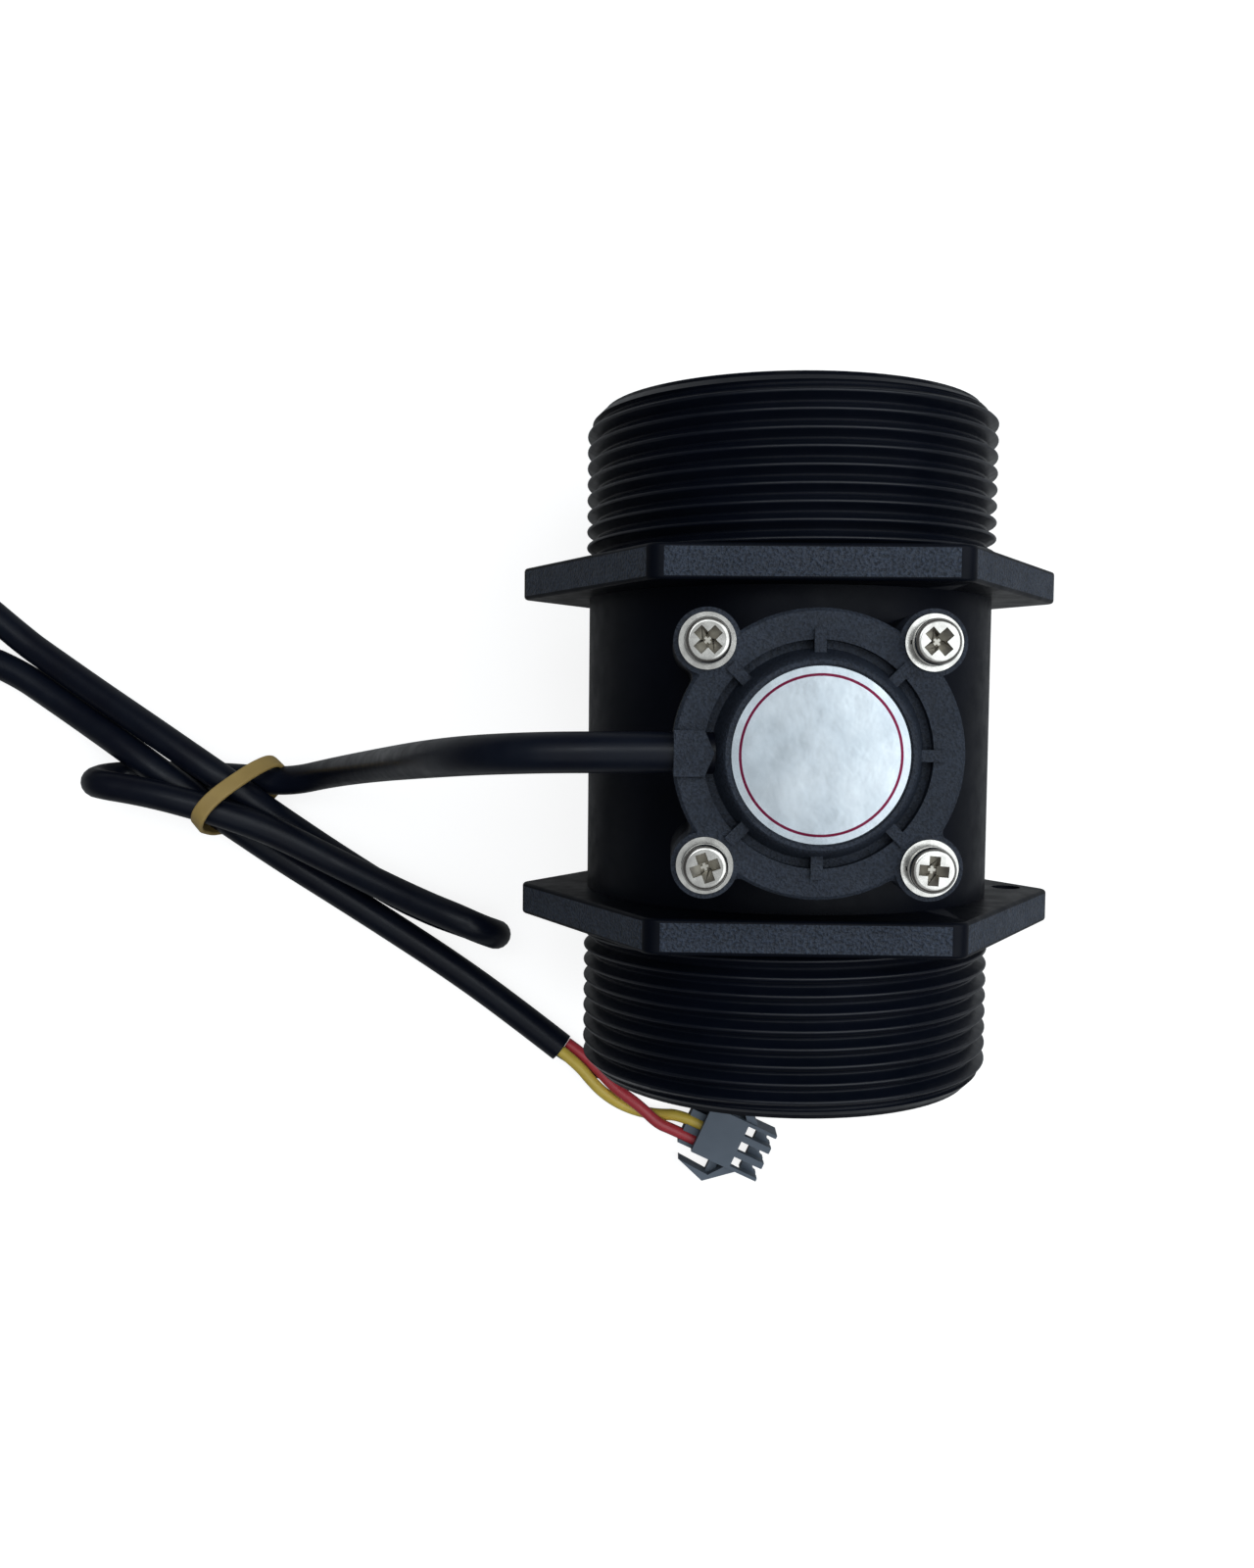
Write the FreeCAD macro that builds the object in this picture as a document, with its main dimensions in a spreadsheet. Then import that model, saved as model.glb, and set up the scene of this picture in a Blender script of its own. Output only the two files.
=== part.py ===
"""Two inch water flow sensor: threaded pipe body, paddle wheel in a drop-in cage, sensor cap and signal lead.

Frame, in millimetres: X to the right, Y along the pipe, Z up. The floor is z = 0, and the sensor lies on
the lower flats of its two hexagon flanges with the cap on top, midway between the flanges at x = y = 0.
"""
import FreeCAD, Part
import math
import os

import Sketcher
from FreeCAD import Placement, Rotation, Vector

doc = FreeCAD.newDocument("water_flow_sensor")

# Driving dimensions

SIZES = {
    # pipe body
    "thread_major": 59.614,  # G2 parallel pipe thread, outside diameter
    "thread_depth": 1.479,
    "thread_length": 22.55,
    "thread_lead": 1.6,
    "pipe_step": 0.457,  # the pipe between the flanges is this much smaller in radius than the threads
    "pipe_wall": 3.328,  # from the thread's root to the bore
    "bore_lead": 1.0,
    "flange_gap": 42.3,
    "flange_thick": 4.65,
    "hex_margin": 4.443,  # from the thread's crest to the wrench flat
    "hex_corner": 2.6,
    "hex_edge": 0.5,
    "seal_hole": 4.2,
    "seal_hole_inset": 5.85,  # from the hexagon's sharp corner to the hole's middle
    "seal_hole_drop": 1.5,
    "overrun": 1.0,  # how far a cut runs on past a face
    # neck and cap
    "neck_rise": 8.65,  # cap's underside above the pipe's back
    "cap_round": 34.2,
    "cap_thick": 6.5,
    "cap_edge": 0.4,
    "screw_spacing": 26.2,
    "ear_round": 7.92,
    "ear_blend": 1.0,
    "ear_web": 6.4,  # web that carries an ear, and how far it starts inside the cap's rim
    "ear_root": 2.0,
    "dome_base": 24.9,
    "dome_top": 22.6,
    "dome_rise": 3.0,
    "dome_bevel": 0.35,
    "moat_outer": 26.8,
    "moat_depth": 1.5,
    "rib_wide": 1.4,
    "rib_inner": 11.8,
    "rib_outer": 14.6,
    "rib_rise": 0.5,
    "ridge_wide": 5.4,
    "ridge_rise": 0.9,
    "ridge_end": 13.25,
    "ridge_tip": 12.1,
    "ridge_inset": 0.25,
    "label_round": 20.5,
    "label_thick": 0.12,
    "label_sink": 0.3,
    "label_room": 0.25,
    "pocket_round": 18.5,
    "pocket_floor": 1.6,
    "spigot_wall": 2.0,
    "spigot_depth": 2.5,
    "shaft_boss": 5.2,
    "shaft_boss_drop": 2.0,
    # neck bore and seal
    "neck_bore": 26.2,
    "neck_room": 0.1,  # radial room of the cage and the cap's spigot in the neck
    "ledge_depth": 5.0,
    "seal_section": 1.9,
    "seal_room": 0.1,
    # fasteners
    "screw_shank": 2.9,
    "screw_length": 16.0,
    "screw_head": 5.4,
    "screw_head_high": 1.9,
    "screw_head_round": 1.2,
    "screw_room": 0.25,
    "tapped_room": 0.05,
    "tapped_depth": 10.5,
    "washer_round": 6.7,
    "washer_thick": 0.5,
    "washer_hole": 3.2,
    "spring_round": 5.5,
    "spring_thick": 0.8,
    "spring_gap": 0.5,
    # cage
    "cage_rim": 1.0,  # how far the cage's rim stands out over the neck's ledge
    "cage_wall": 1.2,
    "cage_depth": 32.0,  # underside of the cage's floor below the cap's underside
    "cage_floor": 2.0,
    "cage_pad": 4.4,
    "cage_pad_rise": 1.0,
    "socket_depth": 2.2,
    "socket_room": 0.02,
    "socket_end_room": 0.4,
    "window_start": 1.0,
    "window_edge": 0.7,
    "window_sill": 2.0,
    "window_high": 13.5,
    # wheel and bearings
    "shaft_round": 2.0,
    "bush_room": 0.04,
    "bush_wall": 0.86,
    "bush_long": 4.0,
    "thrust_round": 4.2,
    "thrust_thick": 0.5,
    "rotor_rest_gap": 0.1,
    "rotor_top_gap": 0.4,
    "hub_wall": 1.1,
    "tip_gap": 0.7,
    "paddle_count": 8,
    "paddle_thick": 1.1,
    "paddle_curve": 14.0,
    "paddle_lift": 0.4,
    "disc_gap": 1.3,
    "disc_thick": 3.4,
    "disc_drop": 0.6,
    "magnet_count": 4,
    "magnet_round": 4.0,
    "magnet_thick": 2.0,
    "magnet_edge": 1.2,
    # board in the cap
    "board_long": 14.0,
    "board_wide": 8.0,
    "board_thick": 1.0,
    "board_shift": 1.0,
    "hall_long": 3.0,
    "hall_wide": 4.0,
    "hall_high": 1.5,
    "chip_long": 2.0,
    "chip_wide": 1.2,
    "chip_high": 0.6,
    "chip_offset": 2.6,
    "lead_round": 0.8,
    "lead_pitch": 1.5,
    "lead_reach": 2.2,
    "lead_lift": 0.1,
    # lead and connector
    "cable_round": 5.0,
    "cable_height": 4.3,  # cable's middle above the cap's underside
    "cable_room": 0.05,
    "cable_inside": 8.6,
    "wire_round": 2.0,
    "band_wide": 2.8,
    "band_thick": 1.0,
    "band_long": 24.6,
    "band_high": 13.2,
    "band_corner": 4.0,
    "band_lean": -4.0,
    "way_pitch": 2.95,
    "plug_long": 12.4,
    "plug_wide": 8.9,
    "plug_high": 5.0,
    "collar_long": 2.6,
    "collar_high": 3.2,
    "way_round": 2.2,
    "contact_room": 0.1,
    "contact_start": 1.0,
    "window_long": 2.3,
    "window_wide": 1.8,
    "relief_high": 3.6,  # hollow below the three windows
    "channel_long": 2.9,
    "notch_round": 1.9,
    "latch_high": 3.4,
    "latch_tip": -1.4,
    "latch_tip_out": 6.8,
    "latch_knee": 4.0,
    "latch_knee_out": 8.6,
    "latch_inner": 4.5,
    "latch_inner_out": 7.2,
    "latch_root": 8.8,
    "latch_root_long": 2.2,
    "fulcrum_long": 1.5,
    "fulcrum_out": 8.0,
    "fulcrum_high": 1.7,
    "plug_overlap": 0.5,  # how far added pieces run into the housing
}

sheet = doc.addObject("Spreadsheet::Sheet", "Dims")
for row, (alias, value) in enumerate(SIZES.items(), start=1):
    sheet.set(f"A{row}", alias)
    sheet.set(f"B{row}", str(value))
    sheet.setAlias(f"B{row}", alias)
doc.recompute()


def expand(text):
    """An expression with each size's name turned into a reference to its cell."""
    words = []
    word = ""
    for sign in text + " ":
        if sign.isalnum() or sign == "_":
            word += sign
            continue
        words.append(f"Dims.{word}" if word in SIZES else word)
        words.append(sign)
        word = ""
    return "".join(words).strip()


def value_of(text):
    """The number that an expression of sizes comes to."""
    return float(sheet.evalExpression(expand(text)))


def bind(item, **properties):
    """Bind properties of an object to expressions; two underscores stand for a dot."""
    for name, text in properties.items():
        item.setExpression(name.replace("__", "."), expand(text))
    return item


# Sizes that several sub-parts share, and heights above the floor
CORE = "(thread_major - 2 * thread_depth)"
PIPE = "(thread_major - 2 * pipe_step)"
BORE = f"({CORE} - 2 * pipe_wall)"
FLAT = "(thread_major / 2 + hex_margin)"
RISE = f"({PIPE} / 2 + neck_rise)"
AXIS = FLAT
SEAT = f"({AXIS} + {RISE})"
CAP_TOP = f"({SEAT} + cap_thick)"
EAR = "screw_spacing / 2"
CAGE_ROUND = "(neck_bore - 2 * cage_rim)"


# PartDesign helpers


def new_body(label, height=None):
    """A body raised to a height above the floor, or left free to be placed."""
    body = doc.addObject("PartDesign::Body", label)
    body.Label = label
    if height:
        bind(body, Placement__Base__z=height)
    return body


def origin_feature(body, role):
    return next(item for item in body.Origin.OriginFeatures if item.Role == role)


def new_sketch(body, plane, offset="0", turn=0.0):
    """A sketch on an origin plane of its body, moved along the plane's normal and turned in it."""
    sketch = body.newObject("Sketcher::SketchObject", f"{body.Label}_sketch")
    sketch.AttachmentSupport = (origin_feature(body, plane), [""])
    sketch.MapMode = "FlatFace"
    sketch.AttachmentOffset = Placement(Vector(), Rotation(Vector(0, 0, 1), turn))
    bind(sketch, AttachmentOffset__Base__z=offset)
    return sketch


def pin_point(sketch, geometry, place, across, up):
    """Tie one point of a sketch to expressions for its two coordinates."""
    for kind, text in (("DistanceX", across), ("DistanceY", up)):
        rule = Sketcher.Constraint(kind, -1, 1, geometry, place, value_of(text))
        index = sketch.addConstraint(rule)
        sketch.setExpression(f"Constraints[{index}]", expand(text))


def outline(sketch, corners):
    """A closed outline of straight lines through corners given as pairs of expressions."""
    points = [Vector(value_of(across), value_of(up), 0) for across, up in corners]
    count = len(points)
    first = sketch.GeometryCount
    for index, point in enumerate(points):
        sketch.addGeometry(Part.LineSegment(point, points[(index + 1) % count]), False)
    for index in range(count):
        after = first + (index + 1) % count
        sketch.addConstraint(Sketcher.Constraint("Coincident", first + index, 2, after, 1))
    for index, (across, up) in enumerate(corners):
        pin_point(sketch, first + index, 1, across, up)
    return sketch


def circle(sketch, diameter, across="0", up="0"):
    centre = Vector(value_of(across), value_of(up), 0)
    radius = f"({diameter}) / 2"
    index = sketch.addGeometry(Part.Circle(centre, Vector(0, 0, 1), value_of(radius)), False)
    rule = sketch.addConstraint(Sketcher.Constraint("Radius", index, value_of(radius)))
    sketch.setExpression(f"Constraints[{rule}]", expand(radius))
    pin_point(sketch, index, 3, across, up)
    return sketch


def rectangle(sketch, left, right, low, high):
    return outline(sketch, [(left, low), (right, low), (right, high), (left, high)])


def revolve(body, sketch, axis):
    item = body.newObject("PartDesign::Revolution", f"{body.Label}_turned")
    item.Profile = sketch
    item.ReferenceAxis = (sketch, [axis])
    doc.recompute()
    return item


def pad(body, sketch, length, down=False):
    item = body.newObject("PartDesign::Pad", f"{body.Label}_pad")
    item.Profile = sketch
    item.Reversed = down
    bind(item, Length=length)
    doc.recompute()
    return item


def pocket(body, sketch, length, up=False, midplane=False):
    """A cut from the sketch against its normal, or along it; it has to take material away."""
    before = body.Shape.Volume
    item = body.newObject("PartDesign::Pocket", f"{body.Label}_cut")
    item.Profile = sketch
    item.Reversed = up
    item.Midplane = midplane
    bind(item, Length=length)
    doc.recompute()
    if body.Shape.Volume >= before:
        raise RuntimeError(f"a cut in {body.Label} removes nothing")
    return item


def polar(body, features, count, angle=360.0):
    """One feature or several repeated round the body's Z axis."""
    item = body.newObject("PartDesign::PolarPattern", f"{body.Label}_round")
    item.Originals = features
    item.Axis = (origin_feature(body, "Z_Axis"), [""])
    item.Angle = angle
    bind(item, Occurrences=count)
    body.Tip = item
    doc.recompute()
    return item


def mirror(body, feature, plane):
    item = body.newObject("PartDesign::Mirrored", f"{body.Label}_mirror")
    item.Originals = [feature]
    item.MirrorPlane = (origin_feature(body, plane), [""])
    body.Tip = item
    doc.recompute()
    return item


def dress(body, kind, base, size, wanted):
    """A Fillet or Chamfer on the edges of a feature that a test picks."""
    names = [f"Edge{n}" for n, edge in enumerate(base.Shape.Edges, start=1) if wanted(edge)]
    item = body.newObject(f"PartDesign::{kind}", f"{body.Label}_edge")
    item.Base = (base, names)
    bind(item, **{"Radius" if kind == "Fillet" else "Size": size})
    doc.recompute()
    return item


def is_upright(edge, low, high):
    """Whether a straight edge runs along Z between two heights."""
    box = edge.BoundBox
    return box.XLength < 1e-6 and box.YLength < 1e-6 and low <= box.ZMin and box.ZMax <= high


# Part helpers


def cylinder(name, diameter, length, x="0", y="0", z="0"):
    item = doc.addObject("Part::Cylinder", name)
    bind(item, Radius=f"({diameter}) / 2", Height=length)
    return bind(item, Placement__Base__x=x, Placement__Base__y=y, Placement__Base__z=z)


def block(name, long, wide, high, x, y, z):
    """A block with its lowest face's middle at x, y, z."""
    item = doc.addObject("Part::Box", name)
    bind(item, Length=long, Width=wide, Height=high)
    return bind(
        item,
        Placement__Base__x=f"{x} - ({long}) / 2",
        Placement__Base__y=f"{y} - ({wide}) / 2",
        Placement__Base__z=z,
    )


def cut(name, base, tool):
    item = doc.addObject("Part::Cut", name)
    item.Base = base
    item.Tool = tool
    return item


def group(label, items):
    item = doc.addObject("Part::Compound", label)
    item.Label = label
    item.Links = items
    return item


def ring(name, outer, inner, length, x="0", y="0", z="0"):
    solid = cylinder(f"{name}_outer", outer, length, x, y, z)
    hole = cylinder(f"{name}_hole", inner, length, x, y, z)
    return cut(name, solid, hole)


# Pipe body


def make_body():
    body = new_body("body", AXIS)
    end = "flange_gap / 2 + flange_thick + thread_length"
    flange = "flange_gap / 2 + flange_thick"
    profile = [
        ("0", f"-({end})"),
        (f"{CORE} / 2", f"-({end})"),
        ("thread_major / 2", f"-({end} - thread_lead)"),
        ("thread_major / 2", f"-({flange})"),
        (f"{PIPE} / 2", f"-({flange})"),
        (f"{PIPE} / 2", flange),
        ("thread_major / 2", flange),
        ("thread_major / 2", f"{end} - thread_lead"),
        (f"{CORE} / 2", end),
        ("0", end),
    ]
    revolve(body, outline(new_sketch(body, "XY_Plane"), profile), "V_Axis")
    make_flanges(body)
    make_neck(body)
    bore = circle(new_sketch(body, "XZ_Plane"), BORE)
    pocket(body, bore, f"2 * ({end}) + 2 * overrun", midplane=True)
    mouth = [
        (f"{BORE} / 2 - overrun", f"{end} - bore_lead - overrun"),
        (f"{BORE} / 2 + bore_lead + overrun", f"{end} + overrun"),
        (f"{BORE} / 2 - overrun", f"{end} + overrun"),
    ]
    lead = body.newObject("PartDesign::Groove", "body_mouth")
    sketch = outline(new_sketch(body, "XY_Plane"), mouth)
    lead.Profile = sketch
    lead.ReferenceAxis = (sketch, ["V_Axis"])
    doc.recompute()
    mirror(body, lead, "XZ_Plane")
    make_neck_bore(body)
    across = f"2 * {FLAT} / sqrt(3) - seal_hole_inset"
    drop = "-seal_hole_drop"
    seal = circle(new_sketch(body, "XZ_Plane", "flange_gap / 2"), "seal_hole", across, drop)
    pocket(body, seal, "flange_thick", up=True)
    return body


def make_flanges(body):
    """Two wrench flanges with a flat on the floor, rounded at the corners and along both rims."""
    half_side = f"{FLAT} / sqrt(3)"
    corner = f"2 * {FLAT} / sqrt(3)"
    hexagon = [
        (corner, "0"),
        (half_side, FLAT),
        (f"-{half_side}", FLAT),
        (f"-{corner}", "0"),
        (f"-{half_side}", f"-{FLAT}"),
        (half_side, f"-{FLAT}"),
    ]
    sketch = outline(new_sketch(body, "XZ_Plane", "flange_gap / 2"), hexagon)
    near = pad(body, sketch, "flange_thick")
    far = mirror(body, near, "XZ_Plane")
    thick = value_of("flange_thick")
    least = value_of(f"{PIPE} / 2 + overrun")

    def is_corner(edge):
        box = edge.BoundBox
        return abs(box.YLength - thick) < 1e-6 and box.XLength < 1e-6 and box.ZLength < 1e-6

    round_corners = dress(body, "Fillet", far, "hex_corner", is_corner)

    def is_rim(edge):
        middle = edge.valueAt((edge.FirstParameter + edge.LastParameter) / 2)
        return edge.BoundBox.YLength < 1e-6 and math.hypot(middle.x, middle.z) > least

    dress(body, "Fillet", round_corners, "hex_edge", is_rim)


def make_neck(body):
    """The neck under the cap and its four screw bosses, which run down into the pipe's wall."""
    pad(body, circle(new_sketch(body, "XY_Plane"), "cap_round"), RISE)
    bosses = make_ears(body, RISE)
    low = value_of(f"{PIPE} / 4")
    high = value_of(RISE)
    dress(body, "Fillet", bosses, "ear_blend", lambda edge: is_upright(edge, low, high))


def make_ears(body, height):
    """Four round screw ears, each on a web from the rim."""
    sketch = new_sketch(body, "XY_Plane", turn=45)
    half = "ear_web / 2"
    rectangle(sketch, "cap_round / 2 - ear_root", "screw_spacing / sqrt(2)", f"-{half}", half)
    web = pad(body, sketch, height)
    ear = pad(body, circle(new_sketch(body, "XY_Plane"), "ear_round", EAR, EAR), height)
    return polar(body, [web, ear], "4")


def make_neck_bore(body):
    """From the seat down: the seal's rebate, the bore that takes cage and spigot, and the way into the pipe."""
    rebate = "neck_bore + 2 * (seal_section + 2 * seal_room)"
    pocket(body, circle(new_sketch(body, "XY_Plane", RISE), f"{CAGE_ROUND} + 2 * neck_room"), RISE)
    pocket(body, circle(new_sketch(body, "XY_Plane", RISE), "neck_bore"), "ledge_depth")
    pocket(body, circle(new_sketch(body, "XY_Plane", RISE), rebate), "seal_section")
    hole = circle(new_sketch(body, "XY_Plane", RISE), "screw_shank + 2 * tapped_room", EAR, EAR)
    polar(body, [pocket(body, hole, "tapped_depth")], "4")


# Sensor cap


def make_cap():
    cap = new_body("cap", SEAT)
    dome = "cap_thick + dome_rise"
    moat = "cap_thick - moat_depth"
    bed = f"{dome} - label_sink"
    socket = "shaft_round / 2 + socket_room"
    profile = [
        ("0", "socket_depth - shaft_boss_drop + socket_end_room"),
        (socket, "socket_depth - shaft_boss_drop + socket_end_room"),
        (socket, "-shaft_boss_drop"),
        ("shaft_boss / 2", "-shaft_boss_drop"),
        ("shaft_boss / 2", "0"),
        ("neck_bore / 2 - neck_room - spigot_wall", "0"),
        ("neck_bore / 2 - neck_room - spigot_wall", "-spigot_depth"),
        ("neck_bore / 2 - neck_room", "-spigot_depth"),
        ("neck_bore / 2 - neck_room", "0"),
        ("cap_round / 2", "0"),
        ("cap_round / 2", "cap_thick - cap_edge"),
        ("cap_round / 2 - cap_edge", "cap_thick"),
        ("moat_outer / 2", "cap_thick"),
        ("moat_outer / 2", moat),
        ("dome_base / 2", moat),
        ("dome_top / 2", f"{dome} - dome_bevel"),
        ("dome_top / 2 - dome_bevel", dome),
        ("label_round / 2 + label_room", dome),
        ("label_round / 2 + label_room", bed),
        ("pocket_round / 2", bed),
        ("pocket_round / 2", "pocket_floor"),
        ("0", "pocket_floor"),
    ]
    revolve(cap, outline(new_sketch(cap, "XZ_Plane"), profile), "V_Axis")
    ears = make_ears(cap, "cap_thick")
    high = value_of("cap_thick")
    dress(cap, "Fillet", ears, "ear_blend", lambda edge: is_upright(edge, 0, high))
    make_ribs(cap, moat)
    make_ridge(cap, moat)
    hole = circle(new_sketch(cap, "XY_Plane", "cap_thick"), "screw_shank + 2 * screw_room", EAR, EAR)
    polar(cap, [pocket(cap, hole, "cap_thick")], "4")
    return cap


def make_ribs(cap, moat):
    """Seven short ribs across the moat at 45 degree steps; the cable ridge takes the eighth place."""
    sketch = new_sketch(cap, "XY_Plane", moat, turn=-135)
    rectangle(sketch, "rib_inner", "rib_outer", "-rib_wide / 2", "rib_wide / 2")
    polar(cap, [pad(cap, sketch, "moat_depth + rib_rise")], "7", angle=270)


def make_ridge(cap, moat):
    """The raised bar over the cable, pointed where it meets the dome, and the cable's tunnel below it."""
    edge = "-(cap_round / 2 - ridge_inset)"
    bar = [
        (edge, "-ridge_wide / 2"),
        ("-ridge_end", "-ridge_wide / 2"),
        ("-ridge_tip", "0"),
        ("-ridge_end", "ridge_wide / 2"),
        (edge, "ridge_wide / 2"),
    ]
    pad(cap, outline(new_sketch(cap, "XY_Plane", moat), bar), "moat_depth + ridge_rise")
    tunnel = new_sketch(cap, "YZ_Plane", "-cap_round / 2 - overrun")
    circle(tunnel, "cable_round + 2 * cable_room", "0", "cable_height")
    pocket(cap, tunnel, "cap_round / 2 + overrun - cable_inside", up=True)


def make_cap_fittings():
    """The label, the seal under the cap, and the screws with their washers."""
    top = CAP_TOP
    label = cylinder("label", "label_round", "label_thick", z=f"{top} + dome_rise - label_sink")
    label.Label = "label"

    seal = doc.addObject("Part::Torus", "cap_o_ring")
    seal.Label = "cap_o_ring"
    bind(
        seal,
        Radius1="neck_bore / 2 + seal_room + seal_section / 2",
        Radius2="seal_section / 2",
        Placement__Base__z=f"{SEAT} - seal_section / 2",
    )

    screws = new_body("cover_screws", f"{top} + washer_thick + spring_thick")
    screws.AllowCompound = True
    sketch = new_sketch(screws, "XY_Plane", "-screw_length")
    shank = pad(screws, circle(sketch, "screw_shank", EAR, EAR), "screw_length")
    head = pad(screws, circle(new_sketch(screws, "XY_Plane"), "screw_head", EAR, EAR), "screw_head_high")
    rounded = dress(screws, "Fillet", head, "screw_head_round", is_head_rim)
    polar(screws, [shank, head, rounded], "4")

    flats = []
    springs = []
    for right, up in ((1, 1), (-1, 1), (-1, -1), (1, -1)):
        x = f"{right} * {EAR}"
        y = f"{up} * {EAR}"
        count = len(flats)
        flats.append(ring(f"flat_{count}", "washer_round", "washer_hole", "washer_thick", x, y, top))
        on_flat = f"{top} + washer_thick"
        whole = ring(f"spring_{count}", "spring_round", "washer_hole", "spring_thick", x, y, on_flat)
        slit = block(
            f"slit_{count}", "spring_round", "spring_gap", "spring_thick", f"{x} - spring_round / 2", y, on_flat
        )
        springs.append(cut(f"split_{count}", whole, slit))
    return [label, seal, screws, group("flat_washers", flats), group("spring_washers", springs)]


def is_head_rim(edge):
    """Whether an edge is the upper rim of a screw's head."""
    box = edge.BoundBox
    return box.ZLength < 1e-6 and box.ZMin > value_of("screw_head_high") - 1e-6


# Cage and paddle wheel, with heights above the pipe's axis

CAGE_BOTTOM = f"({RISE} - cage_depth)"
FLOOR_TOP = f"({CAGE_BOTTOM} + cage_floor)"
PAD_TOP = f"({FLOOR_TOP} + cage_pad_rise)"
LEDGE = f"({RISE} - ledge_depth)"
CAGE_TOP = f"({RISE} - spigot_depth)"
CHAMBER = f"({CAGE_ROUND} / 2 - cage_wall)"
BOSS_LOW = f"({RISE} - shaft_boss_drop)"
HUB_LOW = f"({PAD_TOP} + thrust_thick + rotor_rest_gap)"
HUB_HIGH = f"({BOSS_LOW} - thrust_thick - rotor_top_gap)"
DISC_HIGH = f"({HUB_HIGH} - disc_drop)"
DISC_LOW = f"({DISC_HIGH} - disc_thick)"
BUSH_HOLE = "(shaft_round + 2 * bush_room)"
BUSH_OUTER = f"({BUSH_HOLE} + 2 * bush_wall)"
HUB_OUTER = f"({BUSH_OUTER} + 2 * hub_wall)"
DISC_ROUND = f"(2 * ({CHAMBER} - disc_gap))"
MAGNETS_OUT = f"({DISC_ROUND} / 2 - magnet_edge - magnet_round / 2)"


def make_cage():
    """A cup with a rim on the neck's ledge. Windows on its +X half let the stream strike one side of the wheel."""
    cage = new_body("rotor_cage", AXIS)
    socket = "shaft_round / 2 + socket_room"
    profile = [
        ("0", CAGE_BOTTOM),
        (f"{CAGE_ROUND} / 2", CAGE_BOTTOM),
        (f"{CAGE_ROUND} / 2", LEDGE),
        ("neck_bore / 2 - neck_room", LEDGE),
        ("neck_bore / 2 - neck_room", CAGE_TOP),
        (CHAMBER, CAGE_TOP),
        (CHAMBER, FLOOR_TOP),
        ("cage_pad / 2", FLOOR_TOP),
        ("cage_pad / 2", PAD_TOP),
        (socket, PAD_TOP),
        (socket, f"{PAD_TOP} - socket_depth"),
        ("0", f"{PAD_TOP} - socket_depth"),
    ]
    revolve(cage, outline(new_sketch(cage, "XZ_Plane"), profile), "V_Axis")
    low = f"{FLOOR_TOP} + window_sill"
    window = new_sketch(cage, "XZ_Plane")
    rectangle(window, "window_start", f"{CHAMBER} - window_edge", low, f"{low} + window_high")
    pocket(cage, window, f"{CAGE_ROUND} + 2 * overrun", midplane=True)
    return cage


def make_impeller():
    """Hub and magnet disc with curved paddles hanging from the disc."""
    wheel = new_body("impeller", AXIS)
    hub = circle(new_sketch(wheel, "XY_Plane", HUB_LOW), HUB_OUTER)
    pad(wheel, hub, f"{HUB_HIGH} - {HUB_LOW}")
    pad(wheel, circle(new_sketch(wheel, "XY_Plane", DISC_LOW), DISC_ROUND), "disc_thick")
    paddle = new_sketch(wheel, "XY_Plane", f"{HUB_LOW} + paddle_lift")
    curved_paddle(paddle)
    blade = pad(wheel, paddle, f"{DISC_LOW} - {HUB_LOW} - paddle_lift")
    polar(wheel, [blade], "paddle_count")
    seat = circle(new_sketch(wheel, "XY_Plane", DISC_HIGH), "magnet_round", MAGNETS_OUT)
    polar(wheel, [pocket(wheel, seat, "magnet_thick")], "magnet_count")
    pocket(wheel, circle(new_sketch(wheel, "XY_Plane", HUB_HIGH), BUSH_OUTER), f"{HUB_HIGH} - {HUB_LOW}")
    return wheel


def curved_paddle(sketch):
    """A paddle's outline: two arcs about one centre, closed at the hub and at the tip."""
    root = f"{HUB_OUTER} / 2 - hub_wall / 2"
    tip = f"{CHAMBER} - tip_gap"
    middle = f"(({root}) + ({tip})) / 2"
    half = f"(({tip}) - ({root})) / 2"
    sides = [f"paddle_curve + {sign} * paddle_thick / 2" for sign in (1, -1)]
    centre = Vector(value_of(middle), -value_of("paddle_curve"), 0)
    swing = math.asin(value_of(half) / value_of("paddle_curve"))
    upright = math.pi / 2
    for side in sides:
        round_line = Part.Circle(centre, Vector(0, 0, 1), value_of(side))
        sketch.addGeometry(Part.ArcOfCircle(round_line, upright - swing, upright + swing), False)
    ends = [(sketch.getPoint(0, place), sketch.getPoint(1, place)) for place in (1, 2)]
    for outer, inner in ends:
        sketch.addGeometry(Part.LineSegment(outer, inner), False)
    for line, place in ((2, 1), (3, 2)):
        sketch.addConstraint(Sketcher.Constraint("Coincident", line, 1, 0, place))
        sketch.addConstraint(Sketcher.Constraint("Coincident", line, 2, 1, place))
    sketch.addConstraint(Sketcher.Constraint("Coincident", 0, 3, 1, 3))
    pin_point(sketch, 0, 3, middle, "-paddle_curve")
    for index, side in enumerate(sides):
        rule = sketch.addConstraint(Sketcher.Constraint("Radius", index, value_of(side)))
        sketch.setExpression(f"Constraints[{rule}]", expand(side))
    for index, place, across in ((0, 1, tip), (1, 1, tip), (0, 2, root), (1, 2, root)):
        rule = Sketcher.Constraint("DistanceX", -1, 1, index, place, value_of(across))
        number = sketch.addConstraint(rule)
        sketch.setExpression(f"Constraints[{number}]", expand(across))


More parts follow.
